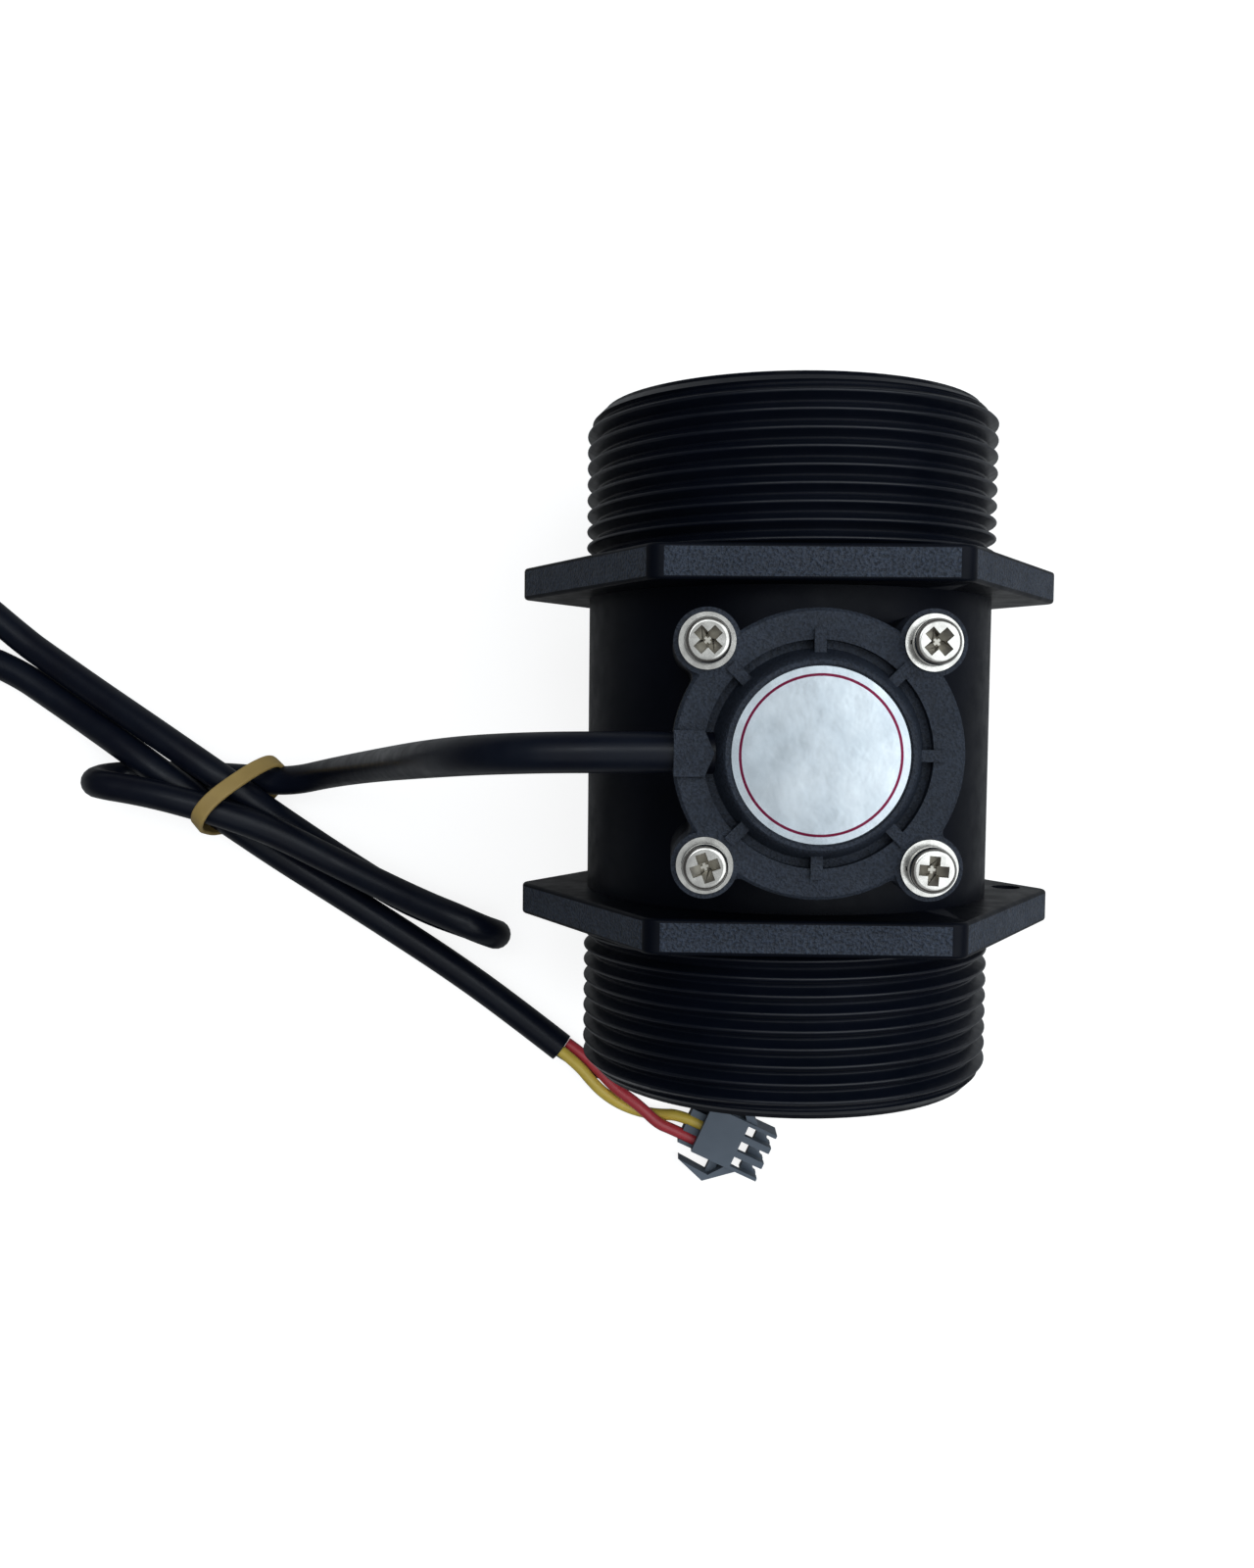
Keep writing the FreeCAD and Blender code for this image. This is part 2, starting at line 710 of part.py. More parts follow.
def make_bearings():
    """The fixed shaft, the wheel's two bushes, the thrust washers at both ends, and the wheel's magnets."""
    low = f"{AXIS} + {PAD_TOP} - socket_depth"
    high = f"{SEAT} - shaft_boss_drop + socket_depth"
    shaft = cylinder("rotor_shaft", "shaft_round", f"{high} - ({low})", z=low)
    shaft.Label = "rotor_shaft"
    bush_low = ring("lower_bush", BUSH_OUTER, BUSH_HOLE, "bush_long", z=f"{AXIS} + {HUB_LOW}")
    bush_high = ring("upper_bush", BUSH_OUTER, BUSH_HOLE, "bush_long", z=f"{AXIS} + {HUB_HIGH} - bush_long")
    thrust_hole = "shaft_round + 2 * bush_room"
    thrust_low = ring("lower_thrust_washer", "thrust_round", thrust_hole, "thrust_thick", z=f"{AXIS} + {PAD_TOP}")
    under_boss = f"{SEAT} - shaft_boss_drop - thrust_thick"
    thrust_high = ring("upper_thrust_washer", "thrust_round", thrust_hole, "thrust_thick", z=under_boss)
    for item in (bush_low, bush_high, thrust_low, thrust_high):
        item.Label = item.Name
    magnets = new_body("rotor_magnets", f"{AXIS} + {DISC_HIGH} - magnet_thick")
    magnets.AllowCompound = True
    sketch = circle(new_sketch(magnets, "XY_Plane"), "magnet_round", MAGNETS_OUT)
    polar(magnets, [pad(magnets, sketch, "magnet_thick")], "magnet_count")
    return [shaft, bush_low, bush_high, thrust_low, thrust_high, magnets]


# Electronics in the cap's pocket


def make_electronics():
    """The board on the pocket's floor, its parts, the lead ends, and the resin that fills the rest."""
    floor = f"{SEAT} + pocket_floor"
    board = block("hall_board", "board_long", "board_wide", "board_thick", "board_shift", "0", floor)
    top = f"{floor} + board_thick"
    hall = block("hall_sensor", "hall_long", "hall_wide", "hall_high", MAGNETS_OUT, "0", top)
    chips = []
    for side in (1, -1):
        y = f"{side} * chip_offset"
        chips.append(block(f"chip_{side + 1}", "chip_long", "chip_wide", "chip_high", "board_shift", y, top))
    ends = []
    for step in (-1, 0, 1):
        lead = cylinder(f"lead_{step + 1}", "lead_round", "cable_inside - lead_reach")
        lead.Placement = Placement(Vector(), Rotation(Vector(0, 1, 0), 90))
        bind(
            lead,
            Placement__Base__x="-cable_inside",
            Placement__Base__y=f"{step} * lead_pitch",
            Placement__Base__z=f"{top} + lead_lift + lead_round / 2",
        )
        ends.append(lead)
    leads = group("board_leads", ends)
    components = group("board_components", chips)
    for item in (board, hall):
        item.Label = item.Name
    fill = cylinder("resin_block", "pocket_round", "cap_thick + dome_rise - label_sink - pocket_floor", z=floor)
    plug = cylinder("cable_end", "cable_round + 2 * cable_room", "pocket_round / 2", z=f"{SEAT} + cable_height")
    plug.Placement = Placement(plug.Placement.Base, Rotation(Vector(0, -1, 0), 90))
    bind(plug, Placement__Base__x="-cable_inside")
    buried = doc.addObject("Part::MultiFuse", "buried")
    buried.Shapes = [board, hall, plug, *chips, *ends]
    potting = cut("potting", fill, buried)
    potting.Label = "potting"
    return [board, hall, components, leads, potting]


# Signal lead: each route is a list of points, joined by arcs as large as the runs allow


def arc_path(points, name):
    """Straight runs through the points with a tangent arc at each turn. Prints the arcs' radii."""
    share = 0.45
    edges = []
    radii = []
    start = points[0]
    for before, here, after in zip(points, points[1:], points[2:]):
        back = before - here
        ahead = after - here
        run = share * min(back.Length, ahead.Length)
        turn = math.pi - back.getAngle(ahead)
        radii.append(run / math.tan(turn / 2))
        back.normalize()
        ahead.normalize()
        enter = here + back * run
        leave = here + ahead * run
        middle = here + (back + ahead).normalize() * (radii[-1] / math.cos(turn / 2) - radii[-1])
        edges.append(Part.LineSegment(start, enter).toShape())
        edges.append(Part.Arc(enter, middle, leave).toShape())
        start = leave
    edges.append(Part.LineSegment(start, points[-1]).toShape())
    print(name, "radii", [round(radius, 1) for radius in radii])
    return Part.Wire(edges)


def tube(label, points, diameter):
    """A round cord along a route, as one closed solid."""
    path = arc_path([Vector(*point) for point in points], label)
    radius = diameter / 2
    first = path.Edges[0]
    disc = Part.Face(Part.Wire(Part.makeCircle(radius, first.valueAt(first.FirstParameter), first.tangentAt(0))))
    solid = Part.Wire(path).makePipeShell([disc.OuterWire], True, True)
    ideal = math.pi * radius**2 * path.Length
    print(label, "length", round(path.Length, 1), "volume share", round(solid.Volume / ideal, 4))
    item = doc.addObject("Part::Feature", label)
    item.Label = label
    item.Shape = solid
    return item


EXIT = value_of(f"{SEAT} + cable_height")
CABLE_ROUTE = [
    (-value_of("cable_inside"), 0.0, EXIT),
    (-26.6, 0.0, EXIT),
    (-38.7, -0.5, EXIT - 5.6),
    (-47.3, -1.6, EXIT - 15.8),
    (-58.3, -3.7, 19.5),
    (-66.9, -5.0, 9.3),
    (-79.0, -7.0, 3.8),
    (-93.0, -7.2, 3.8),
    (-103.0, -6.3, 3.5),
    (-110.6, -5.3, 3.0),
    (-114.9, -4.9, 2.7),
    (-117.9, -6.3, 5.1),
    (-117.9, -8.7, 8.5),
    (-114.9, -10.2, 10.8),
    (-110.8, -10.9, 10.1),
    (-105.6, -11.5, 7.4),
    (-99.6, -12.7, 4.2),
    (-86.0, -15.6, 3.8),
    (-68.0, -22.6, 2.8),
    (-57.0, -28.4, 2.5),
    (-51.6, -31.5, 2.5),
    (-48.2, -33.5, 6.4),
    (-48.2, -33.5, 11.9),
    (-51.6, -31.5, 15.8),
    (-57.8, -27.8, 15.8),
    (-69.0, -21.6, 12.6),
    (-82.0, -14.2, 9.5),
    (-95.0, -5.0, 9.2),
    (-110.0, 4.6, 8.2),
    (-127.0, 15.4, 6.0),
    (-140.0, 24.8, 3.4),
    (-152.0, 34.2, 2.6),
    (-166.0, 38.4, 2.5),
    (-179.0, 32.0, 2.5),
    (-183.0, 18.4, 2.5),
    (-175.0, 6.6, 2.5),
    (-161.5, 3.4, 2.6),
    (-148.0, 7.0, 2.9),
    (-135.0, 9.6, 3.8),
    (-121.0, 3.8, 6.6),
    (-107.0, -4.2, 9.3),
    (-95.0, -13.6, 9.8),
    (-81.0, -23.8, 6.8),
    (-66.0, -31.6, 2.7),
    (-52.0, -39.8, 2.5),
    (-42.5, -48.4, 2.5),
    (-35.5, -54.5, 2.5),
]
RED_ROUTE = [
    (-34.6, -53.73, 2.07),
    (-32.04, -55.4, 2.3),
    (-28.83, -58.26, 3.2),
    (-25.9, -61.14, 3.5),
    (-21.87, -64.12, 3.6),
    (-18.45, -67.5, 3.3),
    (-16.15, -68.6, 2.5),
    (-11.12, -70.87, 2.5),
]
YELLOW_ROUTE = [
    (-35.58, -54.73, 3.73),
    (-32.48, -57.13, 3.9),
    (-29.93, -60.28, 3.7),
    (-28.06, -62.71, 3.0),
    (-25.29, -64.86, 1.7),
    (-21.73, -66.1, 1.02),
    (-18.16, -66.56, 1.2),
    (-14.58, -66.07, 2.5),
    (-9.9, -68.18, 2.5),
]
BLACK_ROUTE = [
    (-35.98, -55.36, 1.7),
    (-32.88, -57.58, 1.12),
    (-29.07, -59.3, 1.12),
    (-24.74, -60.42, 1.12),
    (-20.28, -61.39, 1.12),
    (-16.97, -62.16, 1.5),
    (-14.0, -63.09, 2.5),
    (-8.69, -65.49, 2.5),
]
# The connector lies on its back, and its rear face's middle and direction are where the lead ends
PLUG_PLACE = Placement(Vector(-10.75, -67.8, 0), Rotation(Vector(0, 0, 1), -24.3))
BAND_MIDDLE = Vector(-89.5, -10.1, 6.74)
BAND_ALONG = Vector(-0.778, -0.628, 0)


def make_lead():
    """The jacket, its three wires, the rubber band round the hank, and the connector with its contacts."""
    wire = value_of("wire_round")
    return [
        tube("cable", CABLE_ROUTE, value_of("cable_round")),
        tube("red_wire", RED_ROUTE, wire),
        tube("yellow_wire", YELLOW_ROUTE, wire),
        tube("black_wire", BLACK_ROUTE, wire),
        make_band(),
        make_plug(),
        make_contacts(),
    ]


def make_band():
    """A flat rubber band in a leaning plane, tight round the four strands of the hank."""
    band = new_body("rubber_band")
    half_long = "band_long / 2"
    half_high = "band_high / 2"
    sketch = new_sketch(band, "XY_Plane", "-band_wide / 2")
    rectangle(sketch, f"-{half_long}", half_long, f"-{half_high}", half_high)
    outside = pad(band, sketch, "band_wide")
    rounded = dress(band, "Fillet", outside, "band_corner", is_along_z)
    hollow = band.newObject("PartDesign::Thickness", "rubber_band_hollow")
    sides = [f"Face{n}" for n, face in enumerate(rounded.Shape.Faces, start=1) if is_end_face(face)]
    hollow.Base = (rounded, sides)
    hollow.Reversed = True
    bind(hollow, Value="band_thick")
    lean = math.radians(value_of("band_lean"))
    across = Vector(0, 0, 1).cross(BAND_ALONG)
    up = across * math.sin(lean) + Vector(0, 0, math.cos(lean))
    band.Placement = Placement(BAND_MIDDLE, Rotation(BAND_ALONG, up, BAND_ALONG.cross(up), "XYZ"))
    doc.recompute()
    return band


def is_along_z(edge):
    box = edge.BoundBox
    return box.XLength < 1e-6 and box.YLength < 1e-6


def is_end_face(face):
    return face.BoundBox.ZLength < 1e-6


def make_plug():
    """Three-way housing: bored ways, windows over a hollow, open channels in front, and a latch arm each side."""
    plug = new_body("connector_housing")
    side = "plug_wide / 2"
    rectangle_pad(plug, "0", "plug_long", f"-{side}", side, "0", "plug_high")
    rectangle_pad(plug, "-collar_long", "plug_overlap", f"-{side}", side, "0", "collar_high")
    arm = [
        ("latch_tip", "-latch_tip_out"),
        ("latch_knee", "-latch_knee_out"),
        ("latch_root", f"-{side}"),
        ("latch_root - latch_root_long", f"-{side}"),
        ("latch_inner", "-latch_inner_out"),
    ]
    low = "(plug_high - latch_high) / 2"
    lower = pad(plug, outline(new_sketch(plug, "XY_Plane", low), arm), "latch_high")
    mirror(plug, lower, "XZ_Plane")
    ahead = "latch_knee + fulcrum_long"
    inside = f"plug_overlap - {side}"
    fulcrum = rectangle_pad(plug, "latch_knee", ahead, "-fulcrum_out", inside, low, "fulcrum_high")
    mirror(plug, fulcrum, "XZ_Plane")
    front = "plug_long - channel_long"
    reach = "(way_pitch + window_wide / 2)"
    relief = new_sketch(plug, "XY_Plane", "0")
    rectangle(relief, f"{front} - window_long", front, f"-{reach}", reach)
    pocket(plug, relief, "relief_high", up=True)
    for way in (-1, 0, 1):
        y = f"{way} * way_pitch"
        bore = circle(new_sketch(plug, "YZ_Plane", "-collar_long"), "way_round", y, "plug_high / 2")
        pocket(plug, bore, "collar_long + plug_long", up=True)
        channel = new_sketch(plug, "XY_Plane", "plug_high")
        half = "window_wide / 2"
        rectangle(channel, "plug_long - channel_long", "plug_long + overrun", f"{y} - {half}", f"{y} + {half}")
        pocket(plug, channel, "plug_high / 2")
        window = new_sketch(plug, "XY_Plane", "plug_high")
        rectangle(window, f"{front} - window_long", front, f"{y} - {half}", f"{y} + {half}")
        pocket(plug, window, "plug_high")
        notch = circle(new_sketch(plug, "XY_Plane", "plug_high"), "notch_round", "plug_long", y)
        pocket(plug, notch, "plug_high")
    plug.Placement = PLUG_PLACE
    doc.recompute()
    return plug


def rectangle_pad(body, left, right, low, high, bottom, height):
    return pad(body, rectangle(new_sketch(body, "XY_Plane", bottom), left, right, low, high), height)


def make_contacts():
    """Three crimped contacts in the ways, from the wires' ends to the windows."""
    contacts = new_body("connector_contacts")
    contacts.AllowCompound = True
    sketch = new_sketch(contacts, "YZ_Plane", "contact_start")
    for way in (-1, 0, 1):
        circle(sketch, "way_round - 2 * contact_room", f"{way} * way_pitch", "plug_high / 2")
    pad(contacts, sketch, "plug_long - channel_long - window_long - contact_start")
    contacts.Placement = PLUG_PLACE
    return contacts


# Build, check and write

body = make_body()
cap = make_cap()
cage = make_cage()
impeller = make_impeller()
cord_parts = make_lead()
nodes = [body, cap, cage, impeller, *make_cap_fittings(), *make_bearings()]
nodes += make_electronics()
nodes += cord_parts
doc.recompute()

for item in doc.Objects:
    if "Invalid" in item.State or "Error" in item.State:
        raise RuntimeError(f"{item.Label} failed: {item.State}")
for node in nodes:
    if node.Shape.isNull() or not node.Shape.isValid():
        raise RuntimeError(f"{node.Label} has no valid shape")

os.makedirs("parts", exist_ok=True)
for node in nodes:
    node.Shape.exportStep(f"parts/{node.Label}.step")
    print(node.Label, len(node.Shape.Solids), round(node.Shape.Volume, 1))
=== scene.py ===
"""Looks of the water flow sensor: threaded pipe body, bolted cap, banded lead and its plug."""
import math

import bmesh
import bpy
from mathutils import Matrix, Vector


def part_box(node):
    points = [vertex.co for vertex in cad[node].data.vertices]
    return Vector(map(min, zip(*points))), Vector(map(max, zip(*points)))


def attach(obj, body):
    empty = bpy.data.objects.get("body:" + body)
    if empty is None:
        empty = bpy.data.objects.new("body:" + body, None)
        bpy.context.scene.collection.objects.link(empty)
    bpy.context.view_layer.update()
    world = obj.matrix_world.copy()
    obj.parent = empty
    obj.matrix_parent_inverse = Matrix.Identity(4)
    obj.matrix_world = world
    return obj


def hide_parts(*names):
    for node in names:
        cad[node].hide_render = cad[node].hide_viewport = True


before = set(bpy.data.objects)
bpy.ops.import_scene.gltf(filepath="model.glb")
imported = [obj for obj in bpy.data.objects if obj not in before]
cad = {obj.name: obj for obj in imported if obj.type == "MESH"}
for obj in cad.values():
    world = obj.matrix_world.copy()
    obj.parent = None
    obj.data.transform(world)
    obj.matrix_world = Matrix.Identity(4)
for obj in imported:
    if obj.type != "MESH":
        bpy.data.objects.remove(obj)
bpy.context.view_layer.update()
scene = bpy.context.scene

MM = 0.001
PIPE_AXIS = 34.25 * MM  # height of the pipe's middle above the floor
CREST, ROOT = 29.807 * MM, 28.328 * MM  # the end threads' outside and core radius
PITCH = 2.309 * MM
LEAD_IN = 27.4 * MM  # the ends' outside radius at the front of their lead-in
PIPE_OUT = 29.35 * MM  # the pipe's outside radius between the flanges
FLANGE_IN = 21.15 * MM  # a wrench flange's inner face, from the body's middle
THREAD_START = 25.85 * MM  # just past its outer face, where the thread's core begins
THREAD_END = 45.83 * MM  # where the thread runs into the lead-in
END_FACE = 48.35 * MM  # the pipe's ends
SCREW_OUT = 13.1 * MM  # screws stand at plus and minus this, both ways


# ---------------------------------------------------------------- camera, floor and light

FLOOR_SHADE = 0.36
SEEN_LIFT, MIRRORED_LIFT = 0.83, 0.06  # the white floor's own light, looked at and mirrored
COOL_WHITE = (0.9, 0.96, 1.0)


def place_camera():
    """The photo's point of view, from nearly straight above."""
    lens = bpy.data.cameras.new("photo_camera")
    lens.lens = 30.993
    lens.sensor_width = 36
    lens.clip_start = 0.01
    camera = bpy.data.objects.new("photo_camera", lens)
    camera.location = (-0.01779, 0.00514, 0.23661)
    camera.rotation_euler = (-0.055519, 0.029003, 0.010032)
    scene.collection.objects.link(camera)
    scene.camera = camera


def lift_where_seen(nodes, links, seen, mirrored):
    """Light of its own for rays that look at the surface, look through to it or mirror it."""
    path = nodes.new("ShaderNodeLightPath")
    looking = nodes.new("ShaderNodeMath")
    looking.operation = "MAXIMUM"
    links.new(path.outputs["Is Camera Ray"], looking.inputs[0])
    links.new(path.outputs["Is Transmission Ray"], looking.inputs[1])
    full = nodes.new("ShaderNodeMath")
    full.operation = "MULTIPLY"
    full.inputs[1].default_value = seen
    links.new(looking.outputs[0], full.inputs[0])
    both = nodes.new("ShaderNodeMath")
    both.operation = "MULTIPLY_ADD"
    both.inputs[1].default_value = mirrored
    links.new(path.outputs["Is Glossy Ray"], both.inputs[0])
    links.new(full.outputs[0], both.inputs[2])
    return both.outputs[0]


def lay_floor():
    """A floor that looks white but throws little light back at the part."""
    bpy.ops.object.select_all(action="DESELECT")
    bpy.ops.mesh.primitive_plane_add(size=6, location=(0, 0, -0.2 * MM))
    floor = bpy.context.object
    floor.name = "white_floor"
    paper = bpy.data.materials.new("white_paper")
    paper.use_nodes = True
    nodes, links = paper.node_tree.nodes, paper.node_tree.links
    shader = nodes["Principled BSDF"]
    shader.inputs["Base Color"].default_value = (FLOOR_SHADE, FLOOR_SHADE, FLOOR_SHADE, 1)
    shader.inputs["Roughness"].default_value = 0.9
    shader.inputs["Specular IOR Level"].default_value = 0.1
    shader.inputs["Emission Color"].default_value = (1, 1, 1, 1)
    lift = lift_where_seen(nodes, links, SEEN_LIFT, MIRRORED_LIFT)
    links.new(lift, shader.inputs["Emission Strength"])
    floor.data.materials.append(paper)


def hang_lamp(name, place, aim, size, power):
    lamp = bpy.data.lights.new(name, "AREA")
    lamp.shape = "RECTANGLE"
    lamp.size, lamp.size_y = size
    lamp.energy = power
    lamp.color = COOL_WHITE
    holder = bpy.data.objects.new(name, lamp)
    holder.location = place
    away = [a - b for a, b in zip(place, aim)]
    flat = math.hypot(away[0], away[1])
    holder.rotation_euler = (math.atan2(flat, away[2]), 0, math.atan2(away[0], -away[1]))
    scene.collection.objects.link(holder)


def light_studio():
    """Three broad lamps above the part, and a sky that is bright only where it is looked at."""
    sky = bpy.data.worlds.new("studio")
    sky.use_nodes = True
    nodes, links = sky.node_tree.nodes, sky.node_tree.links
    backdrop = nodes["Background"]
    path = nodes.new("ShaderNodeLightPath")
    shade = nodes.new("ShaderNodeMapRange")
    shade.inputs["To Min"].default_value = 0.1
    shade.inputs["To Max"].default_value = 1.0
    links.new(path.outputs["Is Camera Ray"], shade.inputs["Value"])
    links.new(shade.outputs["Result"], backdrop.inputs["Strength"])
    backdrop.inputs["Color"].default_value = (0.97, 0.98, 1, 1)
    scene.world = sky
    hang_lamp("ceiling_light", place=(0.45, 0.1, 1.0), aim=(0.45, 0.1, 0),
              size=(2.0, 2.2), power=8.8)
    hang_lamp("window_light", place=(0.52, 0.1, 0.75), aim=(0, 0, 0.05),
              size=(1.0, 1.0), power=5.2)
    hang_lamp("skylight", place=(-0.2, 0.36, 1.05), aim=(0, 0, 0.05),
              size=(0.5, 0.28), power=1.3)


# ---------------------------------------------------------------- finishes

def new_finish(name, colour, rough, metal=0.0):
    finish = bpy.data.materials.new(name)
    finish.use_nodes = True
    shader = finish.node_tree.nodes["Principled BSDF"]
    shader.inputs["Base Color"].default_value = (*colour, 1)
    shader.inputs["Roughness"].default_value = rough
    shader.inputs["Metallic"].default_value = metal
    return finish


def speckle(finish, size, detail, stretch=(1, 1, 1)):
    """Noise in the piece's own coordinates, with spots of about this size."""
    nodes, links = finish.node_tree.nodes, finish.node_tree.links
    place = nodes.new("ShaderNodeTexCoord")
    turn = nodes.new("ShaderNodeMapping")
    turn.inputs["Scale"].default_value = stretch
    noise = nodes.new("ShaderNodeTexNoise")
    noise.inputs["Scale"].default_value = 1 / size
    noise.inputs["Detail"].default_value = detail
    links.new(place.outputs["Object"], turn.inputs["Vector"])
    links.new(turn.outputs["Vector"], noise.inputs["Vector"])
    return noise.outputs["Fac"]


def between(finish, pattern, low, high, socket):
    """Drive a shader value by a pattern, between two limits."""
    nodes, links = finish.node_tree.nodes, finish.node_tree.links
    spread = nodes.new("ShaderNodeMapRange")
    spread.inputs["From Min"].default_value = 0.3
    spread.inputs["From Max"].default_value = 0.7
    spread.inputs["To Min"].default_value = low
    spread.inputs["To Max"].default_value = high
    links.new(pattern, spread.inputs["Value"])
    links.new(spread.outputs["Result"], nodes["Principled BSDF"].inputs[socket])


def tint(finish, pattern, dark, light):
    """Let the colour drift between two shades with a pattern."""
    nodes, links = finish.node_tree.nodes, finish.node_tree.links
    shades = nodes.new("ShaderNodeValToRGB")
    shades.color_ramp.elements[0].position = 0.35
    shades.color_ramp.elements[0].color = (*dark, 1)
    shades.color_ramp.elements[1].position = 0.65
    shades.color_ramp.elements[1].color = (*light, 1)
    links.new(pattern, shades.inputs["Fac"])
    links.new(shades.outputs["Color"], nodes["Principled BSDF"].inputs["Base Color"])
    return shades


def emboss(finish, pattern, depth):
    """Raise the surface with a pattern."""
    nodes, links = finish.node_tree.nodes, finish.node_tree.links
    bump = nodes.new("ShaderNodeBump")
    bump.inputs["Distance"].default_value = depth
    bump.inputs["Strength"].default_value = 1.0
    links.new(pattern, bump.inputs["Height"])
    links.new(bump.outputs["Normal"], nodes["Principled BSDF"].inputs["Normal"])


def paint_grain_shade(finish, shades, pattern, least, most):
    """Painted shade in the hollows of a grain and a painted highlight on its tops: the base
    colour is scaled between two factors by the grain pattern.
    """
    nodes, links = finish.node_tree.nodes, finish.node_tree.links
    spread = nodes.new("ShaderNodeMapRange")
    spread.inputs["From Min"].default_value = 0.35
    spread.inputs["From Max"].default_value = 0.65
    spread.inputs["To Min"].default_value = least
    spread.inputs["To Max"].default_value = most
    scaled = nodes.new("ShaderNodeVectorMath")
    scaled.operation = "SCALE"
    links.new(pattern, spread.inputs["Value"])
    links.new(shades.outputs["Color"], scaled.inputs["Vector"])
    links.new(spread.outputs["Result"], scaled.inputs["Scale"])
    links.new(scaled.outputs["Vector"], nodes["Principled BSDF"].inputs["Base Color"])


def moulded(name, dark, light, rough, pebble, depth, gloss=0.5, grain_shade=0.0):
    """Moulded plastic with a pebbled skin, and where asked for, painted shade in the grain's
    hollows and painted highlights on its tops.
    """
    finish = new_finish(name, dark, rough)
    finish.node_tree.nodes["Principled BSDF"].inputs["Specular IOR Level"].default_value = gloss
    shades = tint(finish, speckle(finish, 9 * MM, 3), dark, light)
    between(finish, speckle(finish, 2.5 * MM, 4), rough - 0.06, rough + 0.06, "Roughness")
    grain = speckle(finish, pebble, 2)
    emboss(finish, grain, depth)
    if grain_shade:
        # Painted shade in the grain's hollows and painted highlight on its tops, by colour.
        paint_grain_shade(finish, shades, grain, 1 - grain_shade, 1 + grain_shade)
    return finish


def plated(name, dark, light, rough, brush, stretch=(1, 1, 1)):
    """Plated or ground metal with fine marks."""
    finish = new_finish(name, light, rough, 1.0)
    tint(finish, speckle(finish, 1.5 * MM, 3), dark, light)
    between(finish, speckle(finish, brush, 3, stretch), rough - 0.05, rough + 0.07, "Roughness")
    emboss(finish, speckle(finish, brush, 2, stretch), 0.004 * MM)
    return finish


# Its grain gets painted shade in the hollows and painted highlights on the tops.
black_hex = moulded(
    "pebbled_black", (0.018, 0.025, 0.040), (0.022, 0.030, 0.047),
    rough=0.5, pebble=0.42 * MM, depth=0.3 * MM, gloss=0.25, grain_shade=0.5)
black_smooth = moulded(
    "smooth_black", (0.002, 0.003, 0.006), (0.003, 0.004, 0.008),
    rough=0.4, pebble=0.18 * MM, depth=0.006 * MM, gloss=0.07)
black_thread = moulded(
    "thread_black", (0.002, 0.0035, 0.008), (0.003, 0.0045, 0.010),
    rough=0.36, pebble=0.18 * MM, depth=0.006 * MM, gloss=0.3)
# Its grain gets painted shade in the hollows and painted highlights on the tops.
black_cap = moulded(
    "grained_black", (0.015, 0.020, 0.031), (0.019, 0.025, 0.038),
    rough=0.56, pebble=0.3 * MM, depth=0.18 * MM, gloss=0.22, grain_shade=0.35)
jacket_black = moulded(
    "jacket_black", (0.003, 0.004, 0.009), (0.004, 0.006, 0.012),
    rough=0.34, pebble=0.5 * MM, depth=0.008 * MM, gloss=0.18)
plug_grey = moulded(
    "plug_grey", (0.095, 0.118, 0.150), (0.115, 0.140, 0.175),
    rough=0.48, pebble=0.2 * MM, depth=0.010 * MM, gloss=0.3)
red_sheath = moulded(
    "red_sheath", (0.40, 0.030, 0.042), (0.48, 0.040, 0.055),
    rough=0.40, pebble=0.4 * MM, depth=0.008 * MM)
yellow_sheath = moulded(
    "yellow_sheath", (0.58, 0.42, 0.06), (0.68, 0.50, 0.085),
    rough=0.40, pebble=0.4 * MM, depth=0.008 * MM)
tan_rubber = moulded(
    "tan_rubber", (0.30, 0.20, 0.06), (0.40, 0.28, 0.09),
    rough=0.62, pebble=0.22 * MM, depth=0.02 * MM)
seal_rubber = moulded(
    "seal_rubber", (0.012, 0.012, 0.012), (0.018, 0.018, 0.018),
    rough=0.7, pebble=0.2 * MM, depth=0.01 * MM)
cage_black = moulded(
    "cage_black", (0.018, 0.020, 0.024), (0.024, 0.026, 0.030),
    rough=0.5, pebble=0.2 * MM, depth=0.012 * MM)
wheel_white = moulded(
    "wheel_white", (0.66, 0.66, 0.61), (0.74, 0.74, 0.70),
    rough=0.45, pebble=0.3 * MM, depth=0.01 * MM)
waxy_white = moulded(
    "waxy_white", (0.76, 0.76, 0.73), (0.82, 0.82, 0.80),
    rough=0.38, pebble=0.3 * MM, depth=0.004 * MM)
chip_black = moulded(
    "chip_black", (0.022, 0.022, 0.023), (0.032, 0.032, 0.033),
    rough=0.6, pebble=0.1 * MM, depth=0.01 * MM)
board_green = moulded(
    "board_green", (0.014, 0.13, 0.045), (0.022, 0.17, 0.06),
    rough=0.32, pebble=0.25 * MM, depth=0.004 * MM)
cast_resin = moulded(
    "cast_resin", (0.014, 0.014, 0.016), (0.022, 0.022, 0.024),
    rough=0.25, pebble=2.0 * MM, depth=0.02 * MM)
nickel = plated(
    "bright_nickel", (0.42, 0.405, 0.38), (0.58, 0.565, 0.53),
    rough=0.18, brush=0.12 * MM)
# Painted shade: the screws' nickel made darker, and a little rougher, for the walls of the cross
# recess.
shaded_recess_nickel = plated(
    "shaded_recess_nickel", (0.34, 0.32, 0.28), (0.50, 0.48, 0.43),
    rough=0.34, brush=0.12 * MM)
